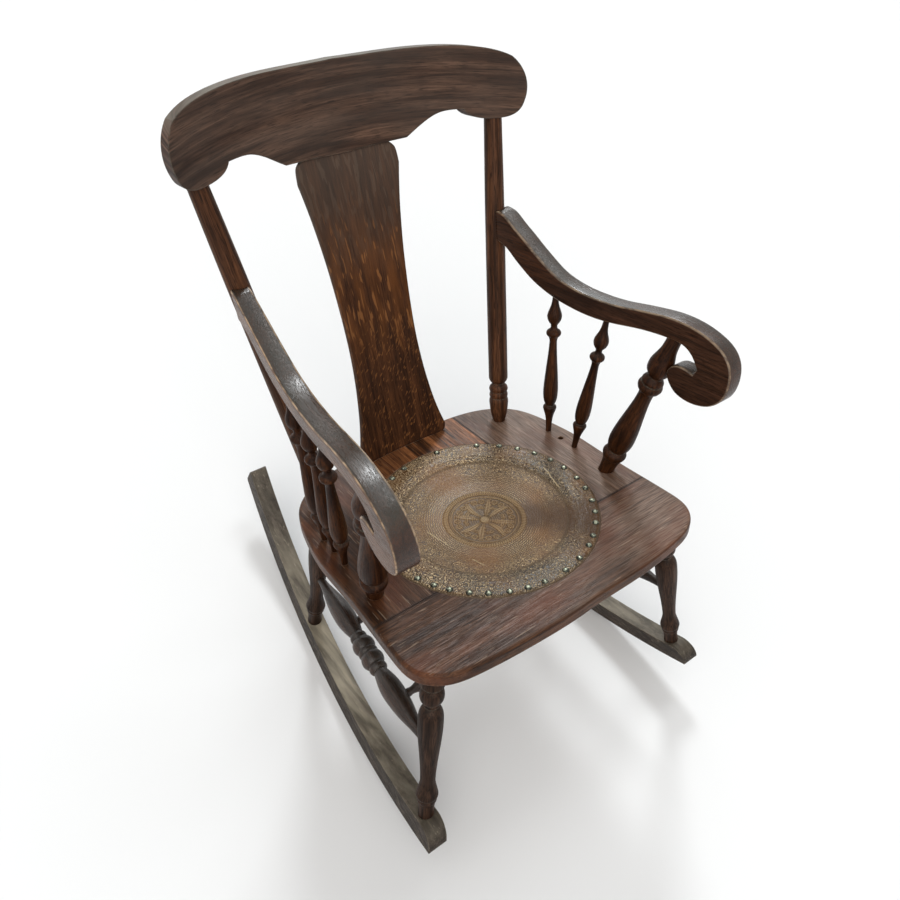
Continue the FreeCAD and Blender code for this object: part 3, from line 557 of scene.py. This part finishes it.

# The two arms: sawn oak boards that lean outward, with scrolled fronts and rounded edges, coped
# to the posts. Hands have polished their tops to a satin, and rubbed the edges to bare tan wood,
# most of all on the left, and their outer faces have lost much of their stain. The greenish grey
# laid on the tops is partly dust and partly a painted sheen.
arm_front = -0.222
arm_span = 0.474
arm_base = 0.195
arm_rise = 0.172
arm_width = 0.03
arm_round = 0.0035
arm_middle = 0.2302
arm_height = 0.348
arm_face_meet = 0.32
arm_post_y = 0.2604
arm_toe_out = math.tan(math.radians(7.5))
arm_inner_lean = math.tan(math.radians(8.0))
arm_outer_leans = {"left": math.tan(math.radians(4.6)), "right": math.tan(math.radians(9.7))}
arm_cope_radius = 0.0166
arm_top_shares = [
    (1.0, 0.985),
    (0.96, 0.968),
    (0.905, 0.885),
    (0.86, 0.82),
    (0.79, 0.715),
    (0.7, 0.6),
    (0.61, 0.552),
    (0.52, 0.547),
    (0.44, 0.565),
    (0.35, 0.608),
    (0.25, 0.645),
    (0.17, 0.64),
    (0.1, 0.597),
    (0.047, 0.525),
    (0.015, 0.415),
    (0.005, 0.27),
    (0.016, 0.13),
    (0.054, 0.03),
    (0.113, -0.008),
    (0.171, 0.022),
    (0.209, 0.118),
    (0.215, 0.205),
    (0.19, 0.265),
    (0.152, 0.268),
    (0.125, 0.245),
]
arm_under_shares = [
    (0.12, 0.305),
    (0.15, 0.405),
    (0.19, 0.46),
    (0.25, 0.464),
    (0.34, 0.44),
    (0.45, 0.385),
    (0.53, 0.362),
    (0.61, 0.365),
    (0.7, 0.395),
    (0.79, 0.465),
    (0.87, 0.575),
    (0.935, 0.68),
    (1.0, 0.72),
]
arm_ground = (0.038, 0.016, 0.008)
arm_light = (0.072, 0.03, 0.016)
arm_top_dust_and_sheen = (0.032, 0.035, 0.026)
arm_rubbed = (0.55, 0.38, 0.23)
arm_bleached = (0.16, 0.082, 0.05)
arm_rubbing = {"left": 0.75, "right": 0.35}
arm_gloss = {"top": 0.36, "side": 0.07}
arm_roughness = 0.25
arm_side_facing = 0.9
arm_round_steps = 3
arm_weld = 0.000005
cope_sides = 64
arm_outline = smooth_run(arm_top_shares)[:-1] + smooth_run(arm_under_shares)
for number, (side, sign) in enumerate(sides.items()):
    outline = bpy.data.curves.new("scrolled_arm_" + side, "CURVE")
    outline.dimensions = "2D"
    outline.fill_mode = "BOTH"
    outline.extrude = arm_width / 2 - arm_round
    outline.bevel_depth = arm_round
    outline.bevel_resolution = arm_round_steps
    outline.offset = -arm_round
    edge = outline.splines.new("POLY")
    edge.use_cyclic_u = True
    edge.points.add(len(arm_outline) - 1)
    for point, (share_along, share_up) in zip(edge.points, arm_outline):
        point.co = (arm_front + share_along * arm_span, arm_base + share_up * arm_rise, 0, 1)
    arm = bpy.data.objects.new("scrolled_arm_" + side, outline)
    bpy.context.collection.objects.link(arm)
    bpy.ops.object.select_all(action="DESELECT")
    bpy.context.view_layer.objects.active = arm
    arm.select_set(True)
    bpy.ops.object.convert(target="MESH")
    # The flat board is leant outward, by its own angle at each face, and toed out.
    for vertex in arm.data.vertices:
        y, z, w = vertex.co
        share = w / arm_width + 0.5
        lean = arm_inner_lean + (arm_outer_leans[side] - arm_inner_lean) * share
        x = arm_middle + w + arm_inner_lean * (arm_face_meet - arm_height)
        x += lean * (z - arm_face_meet) - arm_toe_out * (y - arm_post_y)
        vertex.co = (sign * x, y, z)
    bpy.ops.object.mode_set(mode="EDIT")
    bpy.ops.mesh.select_all(action="SELECT")
    bpy.ops.mesh.remove_doubles(threshold=arm_weld)
    bpy.ops.mesh.normals_make_consistent(inside=False)
    bpy.ops.object.mode_set(mode="OBJECT")
    foot, head = on_side(sign, post_foot, post_head)
    post_length = (head - foot).length
    bpy.ops.mesh.primitive_cylinder_add(
        vertices=cope_sides, radius=arm_cope_radius, depth=post_length
    )
    cutter = bpy.context.object
    cutter.data.transform(Matrix.Translation((foot + head) / 2) @ stood_along(head - foot))
    coping = arm.modifiers.new("coping", "BOOLEAN")
    coping.operation = "DIFFERENCE"
    coping.solver = "EXACT"
    coping.object = cutter
    bpy.context.view_layer.objects.active = arm
    bpy.ops.object.modifier_apply(modifier=coping.name)
    bpy.data.objects.remove(cutter)
    bpy.ops.object.shade_smooth_by_angle(angle=board_crease)
    arm.data.transform(seat_place)
    arm_grain = seat_axes @ Vector((-sign * arm_toe_out, 1, 0)).normalized()
    board_side = seat_axes @ Vector((sign, arm_toe_out, -arm_inner_lean)).normalized()
    # The top has been polished by hands and the sides haven't, so each has a finish.
    arm.data.materials.clear()
    for part_name, specular in arm_gloss.items():
        oak_name = f"arm_{part_name}_oak_{side}"
        arm_oak = bare_oak(oak_name, arm_grain, arm_ground, arm_light, seed=2.0 + number)
        tree = arm_oak["tree"]
        sideways = maths(tree, "ABSOLUTE", lean_towards(tree, board_side), 0.0)
        rim_stops = [(0.3, 0.0), (0.5, 1.0), (0.85, 1.0), (0.97, 0.0)]
        arm_oak["edges"] = tones(tree, sideways, rim_stops)
        # On the tops a greenish grey in patches: partly dust, partly painted sheen.
        tone_facing_way(arm_oak, (0, 0, 1), arm_top_dust_and_sheen, amount=0.5, cells=(5.0, 16.0))
        tone_facing_way(arm_oak, board_side, arm_bleached, amount=0.75)
        rubbed(arm_oak, arm_rubbed, arm_rubbing[side])
        arm.data.materials.append(finished(arm_oak, arm_roughness, specular))
    for face in arm.data.polygons:
        face.material_index = int(abs(face.normal.dot(board_side)) > arm_side_facing)
    stand_for(arm, "arm_" + side)

# The thin arm spindles, and the thicker supports under the arms' fronts, all turned oak. The
# middle spindle on the right is lost, and its two holes stand open.
spindle_ground = (0.02, 0.006, 0.002)
spindle_light = (0.07, 0.024, 0.008)
support_foot = (0.23, -0.0387, 0.0)
support_head = (0.266, -0.113, 0.272)
support_radius = 0.0208
support_tenon = (0.012, 0.0075)
support_seat = 0.004
support_strokes_shares = [
    [(0.0, 0.6), (0.06, 0.66), (0.1, 0.78), (0.122, 0.91), (0.132, 0.96)],
    [(0.132, 0.96), (0.144, 0.98), (0.156, 0.92)],
    [(0.156, 0.92), (0.172, 0.7)],
    [
        (0.172, 0.7),
        (0.195, 0.87),
        (0.23, 0.98),
        (0.27, 1.0),
        (0.35, 0.92),
        (0.45, 0.75),
        (0.54, 0.61),
        (0.6, 0.58),
    ],
    [(0.6, 0.58), (0.618, 0.62), (0.632, 0.72), (0.642, 0.86)],
    [(0.642, 0.86), (0.665, 0.97), (0.688, 0.87)],
    [(0.688, 0.8), (0.702, 0.86), (0.718, 0.76)],
    [(0.718, 0.76), (0.735, 0.57)],
    [
        (0.735, 0.57),
        (0.75, 0.7),
        (0.77, 0.88),
        (0.795, 0.95),
        (0.83, 0.92),
        (0.87, 0.76),
        (0.92, 0.6),
        (1.0, 0.54),
    ],
]
arm_turnings = [piece for name, piece in sorted(plain.items()) if name.startswith("arm_spindle")]
for side, sign in sides.items():
    foot, head = on_side(sign, support_foot, support_head)
    names = ("turned_support_" + side, "arm_support_" + side)
    shape = (foot, head, support_radius, support_strokes_shares, support_tenon, support_seat)
    arm_turnings.append(turn_piece(*names, *shape))
dress_turned(arm_turnings, spindle_ground, spindle_light, first_seed=4.0, roughness=0.4)

# The screws: two plain steel ones that hold the arms to the posts, driven in from behind, and
# gone dull with spots of rust.
screw_rust = (0.1, 0.07, 0.05)
screw_grey = (0.3, 0.28, 0.26)
screw_steel = bpy.data.materials.new("screw_steel")
screw_steel.use_nodes = True
tree = screw_steel.node_tree
screw_shader = tree.nodes["Principled BSDF"]
screw_place = shader_part(tree, "TexCoord").outputs["Object"]
screw_spots = noise(tree, screw_place, scale=700.0)
screw_tone = tones(tree, screw_spots, [(0.35, screw_rust), (0.65, screw_grey)])
tree.links.new(screw_tone, screw_shader.inputs["Base Color"])
screw_shader.inputs["Metallic"].default_value = 1.0
screw_shader.inputs["Roughness"].default_value = 0.5
dress(plain["arm_screws"], screw_steel)

# The seat: four oak boards, dowelled edge to edge, the front one with its grain across the chair
# and the others with theirs from front to back. Sitters have worn the tops to a greyer brown in
# fine scratches, and the grey grows towards the right, partly as wear and partly as a painted
# sheen. The old stain is left reddish in patches.
seat_ground = (0.042, 0.017, 0.0075)
seat_light = (0.115, 0.049, 0.022)
back_board_light = (0.4, 0.155, 0.058)
seat_wear_and_sheen = (0.3, 0.21, 0.16)
seat_red = (0.14, 0.042, 0.018)
seat_rubbed = (0.5, 0.36, 0.25)
seam_dark = (0.012, 0.007, 0.005)
scratch_cells = (30.0, 760.0)
worn_cells = (7.0, 9.0)
red_cells = (9.0, 18.0)
front_joint = -0.092
side_joint = 0.117
seam_full = 0.0009
seam_gone = 0.0016
rubbing_none = 0.004
rubbing_full = 0.007
# Each board's grain, its seed, its lighter wood, and how much worn grey and painted sheen its top
# takes
seat_boards = {
    "seat_front_board": (seat_across, 7.0, seat_light, 0.8),
    "seat_back_board": (seat_back, 7.6, back_board_light, 0.0),
    "seat_side_board_left": (seat_back, 8.1, seat_light, 0.8),
    "seat_side_board_right": (seat_back, 8.7, seat_light, 0.8),
}


def from_seat(tree, place):
    """A place's distances across, along and over the seat."""
    sockets = {"Vector": place, "Location": seat_middle, "Rotation": seat_axes.to_euler()}
    return shader_part(tree, "Mapping", sockets, vector_type="TEXTURE").outputs["Vector"]


def away_from(tree, value, line):
    """How far a value is from a line, on either side of it."""
    return maths(tree, "ABSOLUTE", maths(tree, "SUBTRACT", value, line), 0.0)


for board_name, (grain, seed, board_light, wear_and_sheen_amount) in seat_boards.items():
    board_oak = bare_oak(board_name + "_oak", grain, seat_ground, board_light, seed)
    tree = board_oak["tree"]
    grained = board_oak["grained"]
    over_seat = from_seat(tree, board_oak["place"])
    parted = shader_part(tree, "SeparateXYZ", {"Vector": over_seat})
    from_centre = maths(tree, "ABSOLUTE", parted.outputs["X"], 0.0)
    to_front_joint = away_from(tree, parted.outputs["Y"], front_joint)
    to_side_joint = away_from(tree, from_centre, side_joint)
    if board_name == "seat_back_board":
        to_joint = to_side_joint
    elif board_name == "seat_front_board":
        to_joint = to_front_joint
    else:
        to_joint = maths(tree, "MINIMUM", to_front_joint, to_side_joint)
    clear = tones(tree, to_joint, [(rubbing_none, 0.0), (rubbing_full, 1.0)])
    board_oak["edges"] = maths(tree, "MULTIPLY", board_oak["edges"], clear)
    scratches = tones(tree, streaks(tree, grained, scratch_cells), [(0.36, 0.2), (0.62, 1.0)])
    region = tones(tree, streaks(tree, grained, worn_cells), [(0.35, 0.25), (0.6, 1.0)])
    facing = tones(tree, lean_towards(tree, seat_up), [(0.6, 0.0), (0.9, 1.0)])
    # The grey grows towards the right: partly wear, partly painted sheen.
    rightward_wear_and_sheen = maths(tree, "ADD", parted.outputs["X"], 0.5)
    rightward_wear_and_sheen = tones(tree, rightward_wear_and_sheen, [(0.34, 0.0), (0.6, 1.0)])
    wear_and_sheen_mask = maths(tree, "MULTIPLY", scratches, region)
    wear_and_sheen_mask = maths(tree, "MULTIPLY", wear_and_sheen_mask, facing)
    wear_and_sheen_mask = maths(tree, "MULTIPLY", wear_and_sheen_mask, rightward_wear_and_sheen)
    overlaid(board_oak, wear_and_sheen_mask, seat_wear_and_sheen, wear_and_sheen_amount)
    red = tones(tree, streaks(tree, grained, red_cells, detail=4.0), [(0.5, 0.0), (0.75, 1.0)])
    overlaid(board_oak, red, seat_red, amount=0.6)
    flecked(board_oak, seat_rubbed, (24.0, 420.0), 0.0, 0.68, 0.3, facing)
    tone_facing_way(board_oak, seat_back, seat_ground, amount=0.85)
    rubbed(board_oak, seat_rubbed, amount=0.65)
    seam = tones(tree, to_joint, [(seam_full, 1.0), (seam_gone, 0.0)])
    overlaid(board_oak, seam, seam_dark, amount=0.85)
    dress(plain[board_name], finished(board_oak, roughness=0.36, specular=0.14))
dowel_oak = bare_oak("dowel_oak", seat_back, seat_ground, seat_light, seed=9.3)
dress(plain["seat_dowels"], finished(dowel_oak, roughness=0.5, specular=0.3))

# The leather disc: thick hide pressed between dies, nailed down round its rim and sagged by its
# sitters. Its middle carries a rosette in a rope border, and fine wavy ridges run over the rest.
# It is rolled up from a flat grid, around the disc, and from its middle over the rim to below.
disc_radius = 0.183
disc_top = 0.0023
disc_thickness = 0.0035
disc_sag = 0.016
disc_turns = 720
disc_rings = 132
disc_weld = 0.00002
opening_radius = 0.150
pressing = 0.0016
scallop_pitch = 0.0036
band_radius = 0.133
band_slope = 0.0015
rope_radius = 0.0625
rope_half_width = 0.0046
rope_strands = 104
rope_twist = 420
rope_height_share = 0.3
strand_height_share = 0.8
ring_radius = 0.054
ring_width = 0.001
ring_height_share = 0.8
boss_radius = 0.0085
boss_height_share = 1.3
leaf_count = 8
leaf_reach = 0.05
leaf_tip = 0.0003
vein_width = 0.0009
vein_depth_share = 0.6
petal_sway = 0.0042
petal_half_width = 0.0042
broad_leaf_sway = -0.0015
broad_leaf_half_width = 0.0066
broad_leaf_height_share = 0.8
broad_leaf_frills = 34
broad_leaf_frill_share = 0.35
# The grid's rows, as shares of its length, and how far out each lies: they run from the
# middle over the rim to the middle below, and lie closest in the rosette and at the rim.
fine_rows_end = 0.07
coarse_rows_start = 0.08
rim_round = 0.002
rim_tuck = 0.001
rim_start = 0.9
disc_run = [
    (0.0, 0.0),
    (0.52, fine_rows_end),
    (0.6, coarse_rows_start),
    (rim_start, disc_radius - rim_round),
    (0.915, disc_radius),
    (0.925, disc_radius),
    (0.94, disc_radius - rim_tuck),
    (1.0, 0.0),
]
rim_drop_shares = [
    (rim_start, 0.0),
    (0.908, 0.12),
    (0.915, 0.4),
    (0.925, 0.8),
    (0.935, 0.97),
    (0.94, 1.0),
]
# The scrolls between the leaves: how far out each line's middle lies and how far aside, the
# radius that it curls at, its width, and its height as a share of the pressing.
scroll_lines = [
    (0.0425, 0.0108, 0.0042, 0.0011, 0.85),
    (0.0425, 0.0108, 0.0, 0.0014, 0.8),
    (0.029, 0.009, 0.0022, 0.001, 0.75),
    (0.0485, 0.0035, 0.0, 0.0013, 0.7),
]


def ridge(distance, width):
    """A soft rounded ridge about a line."""
    return np.exp(-((distance / width) ** 2))


def rosette_height(radius, angle):
    """The pressed rosette's height over its ground, as a share of its deepest pressing."""
    # Each point is measured along and across the middle line of its own leaf.
    sector = math.tau / leaf_count
    number = np.floor((angle + sector / 2) / sector)
    local = (angle + sector / 2) % sector - sector / 2
    along = radius * np.cos(local)
    across = radius * np.sin(local)
    share = np.clip((along - boss_radius) / (leaf_reach - boss_radius), 0, 1)
    swell = np.sin(share * math.pi)
    petal = number % 2 == 0
    middle = np.where(petal, petal_sway, broad_leaf_sway) * swell
    half_width = np.where(petal, petal_half_width, broad_leaf_half_width) * swell**0.7 + leaf_tip
    wave = 0.5 + 0.5 * np.cos(share * broad_leaf_frills)
    frill = 1 - np.where(petal, 0.0, broad_leaf_frill_share) * wave
    leaf = np.clip(1 - ((across - middle) / (half_width * frill)) ** 2, 0, 1) ** 0.5
    leaf *= 1 - vein_depth_share * ridge(across - middle, vein_width)
    leaf *= np.where(petal, 1.0, broad_leaf_height_share)
    scrolls = np.zeros_like(radius)
    for sign in (-1, 1):
        for reach, aside, curl, width, rise in scroll_lines:
            away = np.hypot(along - reach, across - sign * aside)
            scrolls = np.maximum(scrolls, rise * ridge(away - curl, width))
    inside = np.clip((ring_radius - 2 * ring_width - radius) / ring_width, 0, 1)
    boss = np.clip(1 - (radius / boss_radius) ** 2, 0, 1) ** 0.5
    ring = ring_height_share * ridge(radius - ring_radius, ring_width)
    height = np.maximum(np.maximum(leaf, scrolls) * inside, boss_height_share * boss)
    height = np.maximum(height, ring)
    strand = 0.5 + 0.5 * np.cos(rope_strands * angle + (radius - rope_radius) * rope_twist)
    rope = np.clip(1 - ((radius - rope_radius) / rope_half_width) ** 2, 0, 1) ** 0.5
    return np.maximum(height, (rope_height_share + strand_height_share * strand) * rope)


bpy.ops.object.select_all(action="DESELECT")
bpy.ops.mesh.primitive_grid_add(
    x_subdivisions=disc_turns, y_subdivisions=disc_rings, size=1, calc_uvs=True
)
leather = bpy.context.object
leather.name = "leather_seat_disc"
grid = np.zeros(len(leather.data.vertices) * 3)
leather.data.vertices.foreach_get("co", grid)
grid = grid.reshape(-1, 3)
angle = -(grid[:, 0] + 0.5) * math.tau
step = grid[:, 1] + 0.5
radius = np.interp(step, *zip(*disc_run))
over_rim = np.interp(step, *zip(*rim_drop_shares))
height = np.where(radius < rope_radius + rope_half_width, rosette_height(radius, angle), 0.0)
band_step = np.clip((radius - band_radius) / band_slope, 0, 1)
# The band's low relief: waves around it and outward, each bent by slower ones
swirl_around = np.sin(angle * 97 + 5 * np.sin(radius * 700))
swirl_outward = np.sin(radius * 1300 + 3 * np.sin(angle * 43))
band = 0.6 * band_step + 0.3 * band_step * swirl_around * swirl_outward
relief = (height + band) * (step < rim_start)
sag = disc_sag * (1 - np.clip(radius / opening_radius, 0, 1) ** 2)
depth = disc_top - pressing + pressing * relief - sag - over_rim * (disc_thickness - pressing)
rolled = np.stack([radius * np.cos(angle), radius * np.sin(angle), depth], 1)
leather.data.vertices.foreach_set("co", rolled.ravel())
raised = leather.data.attributes.new("raised", "FLOAT", "POINT")
raised.data.foreach_set("value", np.where(radius < band_radius, relief, 0.0).astype(np.float32))
leather.data.transform(seat_place)
bpy.ops.object.mode_set(mode="EDIT")
bpy.ops.mesh.select_all(action="SELECT")
bpy.ops.mesh.remove_doubles(threshold=disc_weld)
bpy.ops.object.mode_set(mode="OBJECT")
bpy.ops.object.shade_smooth()

hide_ridge_and_glint = (0.56, 0.4, 0.22)
hide_brown = (0.2, 0.118, 0.052)
hide_dark = (0.07, 0.038, 0.015)
band_ridge_and_glint = (0.72, 0.55, 0.33)
band_brown = (0.24, 0.145, 0.07)
band_dark = (0.06, 0.035, 0.015)
groove_dark = (0.085, 0.053, 0.028, 1)
stain_tone = (0.08, 0.036, 0.012, 1)
warm_tone = (0.24, 0.1, 0.028, 1)
scratch_tone = (0.62, 0.48, 0.27, 1)
stain_places = [((0.065, -0.042), 0.045), ((0.092, -0.078), 0.055), ((0.124, -0.118), 0.06)]
warm_places = [((-0.062, -0.07), 0.045), ((0.0, 0.115), 0.05), ((0.05, -0.09), 0.035)]
scratch_ends = [
    ((-0.0925, 0.03), (-0.082, -0.018)),
    ((-0.074, -0.062), (-0.068, -0.088)),
    ((0.15, 0.03), (0.135, -0.03)),
]
scratch_width = 0.0016
hide_grain = 400.0
hide_depth = 0.0011
hide_roughness = 0.32
hide_specular = 0.22
hide = bpy.data.materials.new("pressed_leather")
hide.use_nodes = True
tree = hide.node_tree
hide_shader = tree.nodes["Principled BSDF"]
hide_place = from_seat(tree, shader_part(tree, "TexCoord").outputs["Object"])
hide_place = vector_maths(tree, "MULTIPLY", hide_place, (1, 1, 0), "Vector")
from_middle = vector_maths(tree, "LENGTH", hide_place, (0, 0, 0))
around = shader_part(tree, "UVMap", uv_map="UVMap").outputs["UV"]
around = shader_part(tree, "SeparateXYZ", {"Vector": around}).outputs["X"]


def blots(tree, place, spots):
    """Soft blots with uneven edges: each spot is a place on the seat and a radius."""
    uneven = maths(tree, "SUBTRACT", noise(tree, place, scale=30.0, detail=4.0), 0.5)
    mask = 0.0
    for (x, y), size in spots:
        away = vector_maths(tree, "DISTANCE", place, (x, y, 0))
        share = maths(tree, "ADD", maths(tree, "DIVIDE", away, size), uneven)
        mask = maths(tree, "MAXIMUM", mask, tones(tree, share, [(0.4, 1.0), (1.0, 0.0)]))
    return mask


def vermicelli(tree, place, scale, turns):
    """Fine wavy ridges over the hide, which follow the contour lines of a soft noise."""
    level = noise(tree, place, scale, detail=0.0, twist=0.5)
    level = maths(tree, "MULTIPLY", level, turns)
    return tones(tree, maths(tree, "SINE", level, 0.0), [(0.0, 0.0), (0.6, 1.0)])


# The pressed pattern: rows of scallops round the rope, and wavy ridges farther out and in the
# band, all broken up by the hide's own grain. Places from the middle are shares of the radius.
broken = tones(tree, noise(tree, hide_place, hide_grain), [(0.36, 0.35), (0.54, 1.0)])
ripple = maths(tree, "SINE", maths(tree, "MULTIPLY", around, math.tau * rope_strands), 0.0)
wander = noise(tree, hide_place, scale=60.0, detail=1.0)
wander = maths(tree, "MULTIPLY", wander, 7.0)
rows = maths(tree, "MULTIPLY", from_middle, math.tau / scallop_pitch)
rows = maths(tree, "ADD", maths(tree, "ADD", rows, ripple), wander)
scallops = tones(tree, maths(tree, "SINE", rows, 0.0), [(0.0, 0.0), (0.7, 1.0)])
share_out = maths(tree, "DIVIDE", from_middle, disc_radius)
near_rope = tones(tree, share_out, [(0.48, 1.0), (0.62, 0.0)])
in_band = tones(tree, share_out, [(0.69, 0.0), (0.75, 1.0)])
inner_ridges = vermicelli(tree, hide_place, scale=140.0, turns=46.0)
inner_pattern = layered(tree, near_rope, inner_ridges, scallops)
inner_pattern = maths(tree, "MULTIPLY", inner_pattern, broken)
band_ridges = vermicelli(tree, hide_place, scale=115.0, turns=40.0)
band_pattern = maths(tree, "MULTIPLY", band_ridges, broken)
pattern = layered(tree, in_band, inner_pattern, band_pattern)

# Its colours: dark in the hollows and golden on the ridges, the gold partly the hide's own and
# partly painted glints, and a painted sheen leaves the band lighter at the back left and darker
# in front on the right. Then the warm patches, the stains, the grooves, the rosette and three
# scratches.
hide_stops = [(0.0, hide_dark), (0.4, hide_brown), (1.0, hide_ridge_and_glint)]
band_stops = [(0.0, band_dark), (0.4, band_brown), (1.0, band_ridge_and_glint)]
band_colour = tones(tree, band_pattern, band_stops)
towards_right = vector_maths(tree, "DOT_PRODUCT", hide_place, (0.7, -0.7, 0))
# A painted sheen across the band: full at the back left, darker towards the front right.
band_painted_sheen = tones(tree, maths(tree, "ADD", towards_right, 0.5), [(0.4, 1.0), (0.56, 0.5)])
band_colour = layered(tree, 1.0, band_colour, band_painted_sheen, "MULTIPLY")
hide_colour = layered(tree, in_band, tones(tree, inner_pattern, hide_stops), band_colour)
patches = noise(tree, hide_place, scale=16.0, detail=4.0)
patches = tones(tree, patches, [(0.45, 0.0), (0.7, 0.4)])
warm = maths(tree, "MULTIPLY", blots(tree, hide_place, warm_places), 0.4)
stained = maths(tree, "MULTIPLY", blots(tree, hide_place, stain_places), 0.85)
border = tones(tree, share_out, [(0.705, 0.0), (0.722, 0.7), (0.74, 0.0)])
rim_line = tones(tree, share_out, [(0.982, 0.0), (0.992, 0.85)])
in_medallion = tones(tree, share_out, [(0.362, 1.0), (0.372, 0.0)])
in_medallion = maths(tree, "MULTIPLY", in_medallion, 0.48)
# The rosette is golden where raised: partly its own colour, partly a painted glint.
height_above = shader_part(tree, "Attribute", attribute_name="raised").outputs["Fac"]
medallion_colour = tones(tree, height_above, hide_stops)
hide_layers = [
    (patches, warm_tone),
    (warm, warm_tone),
    (stained, stain_tone),
    (border, groove_dark),
    (rim_line, groove_dark),
    (in_medallion, medallion_colour),
]
for mask, tone in hide_layers:
    hide_colour = layered(tree, mask, hide_colour, tone)
for start, end in scratch_ends:
    run = Vector((*end, 0)) - Vector((*start, 0))
    sockets = {
        "Vector": hide_place,
        "Location": (*start, 0),
        "Rotation": (0.0, 0.0, math.atan2(run.y, run.x)),
        "Scale": (run.length, scratch_width, 1.0),
    }
    scratch_place = shader_part(tree, "Mapping", sockets, vector_type="TEXTURE").outputs["Vector"]
    wavy = maths(tree, "SUBTRACT", noise(tree, hide_place, scale=60.0), 0.5)
    wavy = maths(tree, "MULTIPLY", wavy, 3.0)
    parted = shader_part(tree, "SeparateXYZ", {"Vector": scratch_place})
    aside = maths(tree, "ABSOLUTE", maths(tree, "ADD", parted.outputs["Y"], wavy), 0.0)
    within = tones(tree, parted.outputs["X"], [(0.0, 0.0), (0.1, 1.0), (0.85, 1.0), (1.0, 0.0)])
    line = maths(tree, "MULTIPLY", tones(tree, aside, [(0.25, 0.75), (0.7, 0.0)]), within)
    hide_colour = layered(tree, line, hide_colour, scratch_tone)
tree.links.new(hide_colour, hide_shader.inputs["Base Color"])
hide_shader.inputs["Roughness"].default_value = hide_roughness
hide_shader.inputs["Specular IOR Level"].default_value = hide_specular
hide_bump = shader_part(tree, "Bump", {"Height": pattern, "Strength": 0.7, "Distance": hide_depth})
tree.links.new(hide_bump.outputs["Normal"], hide_shader.inputs["Normal"])
leather.data.materials.append(hide)
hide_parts("seat_leather_disc")
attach(leather, "root")

# The nails: domed brass heads in one ring round the leather's rim, driven through it into the
# seat. They have gone dark, and their crowns, where they face up, are pale: partly rubbed bright
# and partly a painted highlight.
nail_dark = (0.03, 0.032, 0.024)
nail_worn_and_highlight = (0.36, 0.38, 0.28)
nail_brass = bpy.data.materials.new("nail_brass")
nail_brass.use_nodes = True
tree = nail_brass.node_tree
nail_shader = tree.nodes["Principled BSDF"]
nail_place = shader_part(tree, "TexCoord").outputs["Object"]
nail_spots = noise(tree, nail_place, scale=260.0, detail=3.0)
# Pale where the dome faces up: partly rubbed brass, partly a painted highlight.
crown_wear_and_highlight = maths(tree, "MULTIPLY", lean_towards(tree, seat_up), maths(tree, "ADD", nail_spots, 0.5))
nail_tone = tones(tree, crown_wear_and_highlight, [(0.78, nail_dark), (1.0, nail_worn_and_highlight)])
tree.links.new(nail_tone, nail_shader.inputs["Base Color"])
nail_shader.inputs["Metallic"].default_value = 0.75
nail_shader.inputs["Roughness"].default_value = 0.3
dress(plain["seat_nails"], nail_brass)

# The legs: turned oak, socketed into the seat above and the rockers below. Their rings are
# rubbed grey.
leg_ground = (0.02, 0.0095, 0.0055)
leg_light = (0.065, 0.033, 0.02)
legs = [piece for name, piece in sorted(plain.items()) if name.startswith("leg_")]
dress_turned(legs, leg_ground, leg_light, first_seed=11.0, roughness=0.44)

# The stretchers: turned oak, tenoned into the legs. The two at the sides have a ring and ball
# turning in their middle, and the two across the chair are plain with a collar at each end.
# Their varnish still shines.
stretchers = [piece for name, piece in sorted(plain.items()) if "stretcher" in name]
# The stretchers' tops take more of the painted sheen than the other turned pieces.
dress_turned(stretchers, leg_ground, leg_light, 15.0, roughness=0.28, specular=0.35, top_sheen=0.3)

# The rockers: two runners sawn to a curve from oak boards, with the legs' feet let into them.
# Dust lies grey along their tops, thickest in the middle, and their edges are rubbed.
rocker_ground = (0.03, 0.021, 0.015)
rocker_light = (0.075, 0.056, 0.042)
rocker_dust = (0.4, 0.35, 0.26)
rocker_rubbed = (0.42, 0.36, 0.27)
for number, side in enumerate(sides):
    rocker_name = "rocker_" + side
    rocker_oak = bare_oak(
        rocker_name + "_oak", (0, 1, 0), rocker_ground, rocker_light, 19.0 + number
    )
    tree = rocker_oak["tree"]
    along = shader_part(tree, "SeparateXYZ", {"Vector": rocker_oak["place"]}).outputs["Y"]
    dust_stops = [(0.12, 0.2), (0.35, 1.0), (0.55, 1.0), (0.8, 0.2)]
    dust = tones(tree, maths(tree, "ADD", along, 0.5), dust_stops)
    dust = maths(tree, "MULTIPLY", dust, 0.75)
    tone_facing_way(rocker_oak, (0, 0, 1), rocker_dust, amount=dust, cells=(9.0, 60.0))
    flecked(rocker_oak, rocker_rubbed, (40.0, 300.0), slant=0.0, start=0.68, amount=0.25)
    rubbed(rocker_oak, rocker_rubbed, amount=0.4)
    dress(plain[rocker_name], finished(rocker_oak, roughness=0.5, specular=0.2))

# The box round the dressed model
low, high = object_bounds()
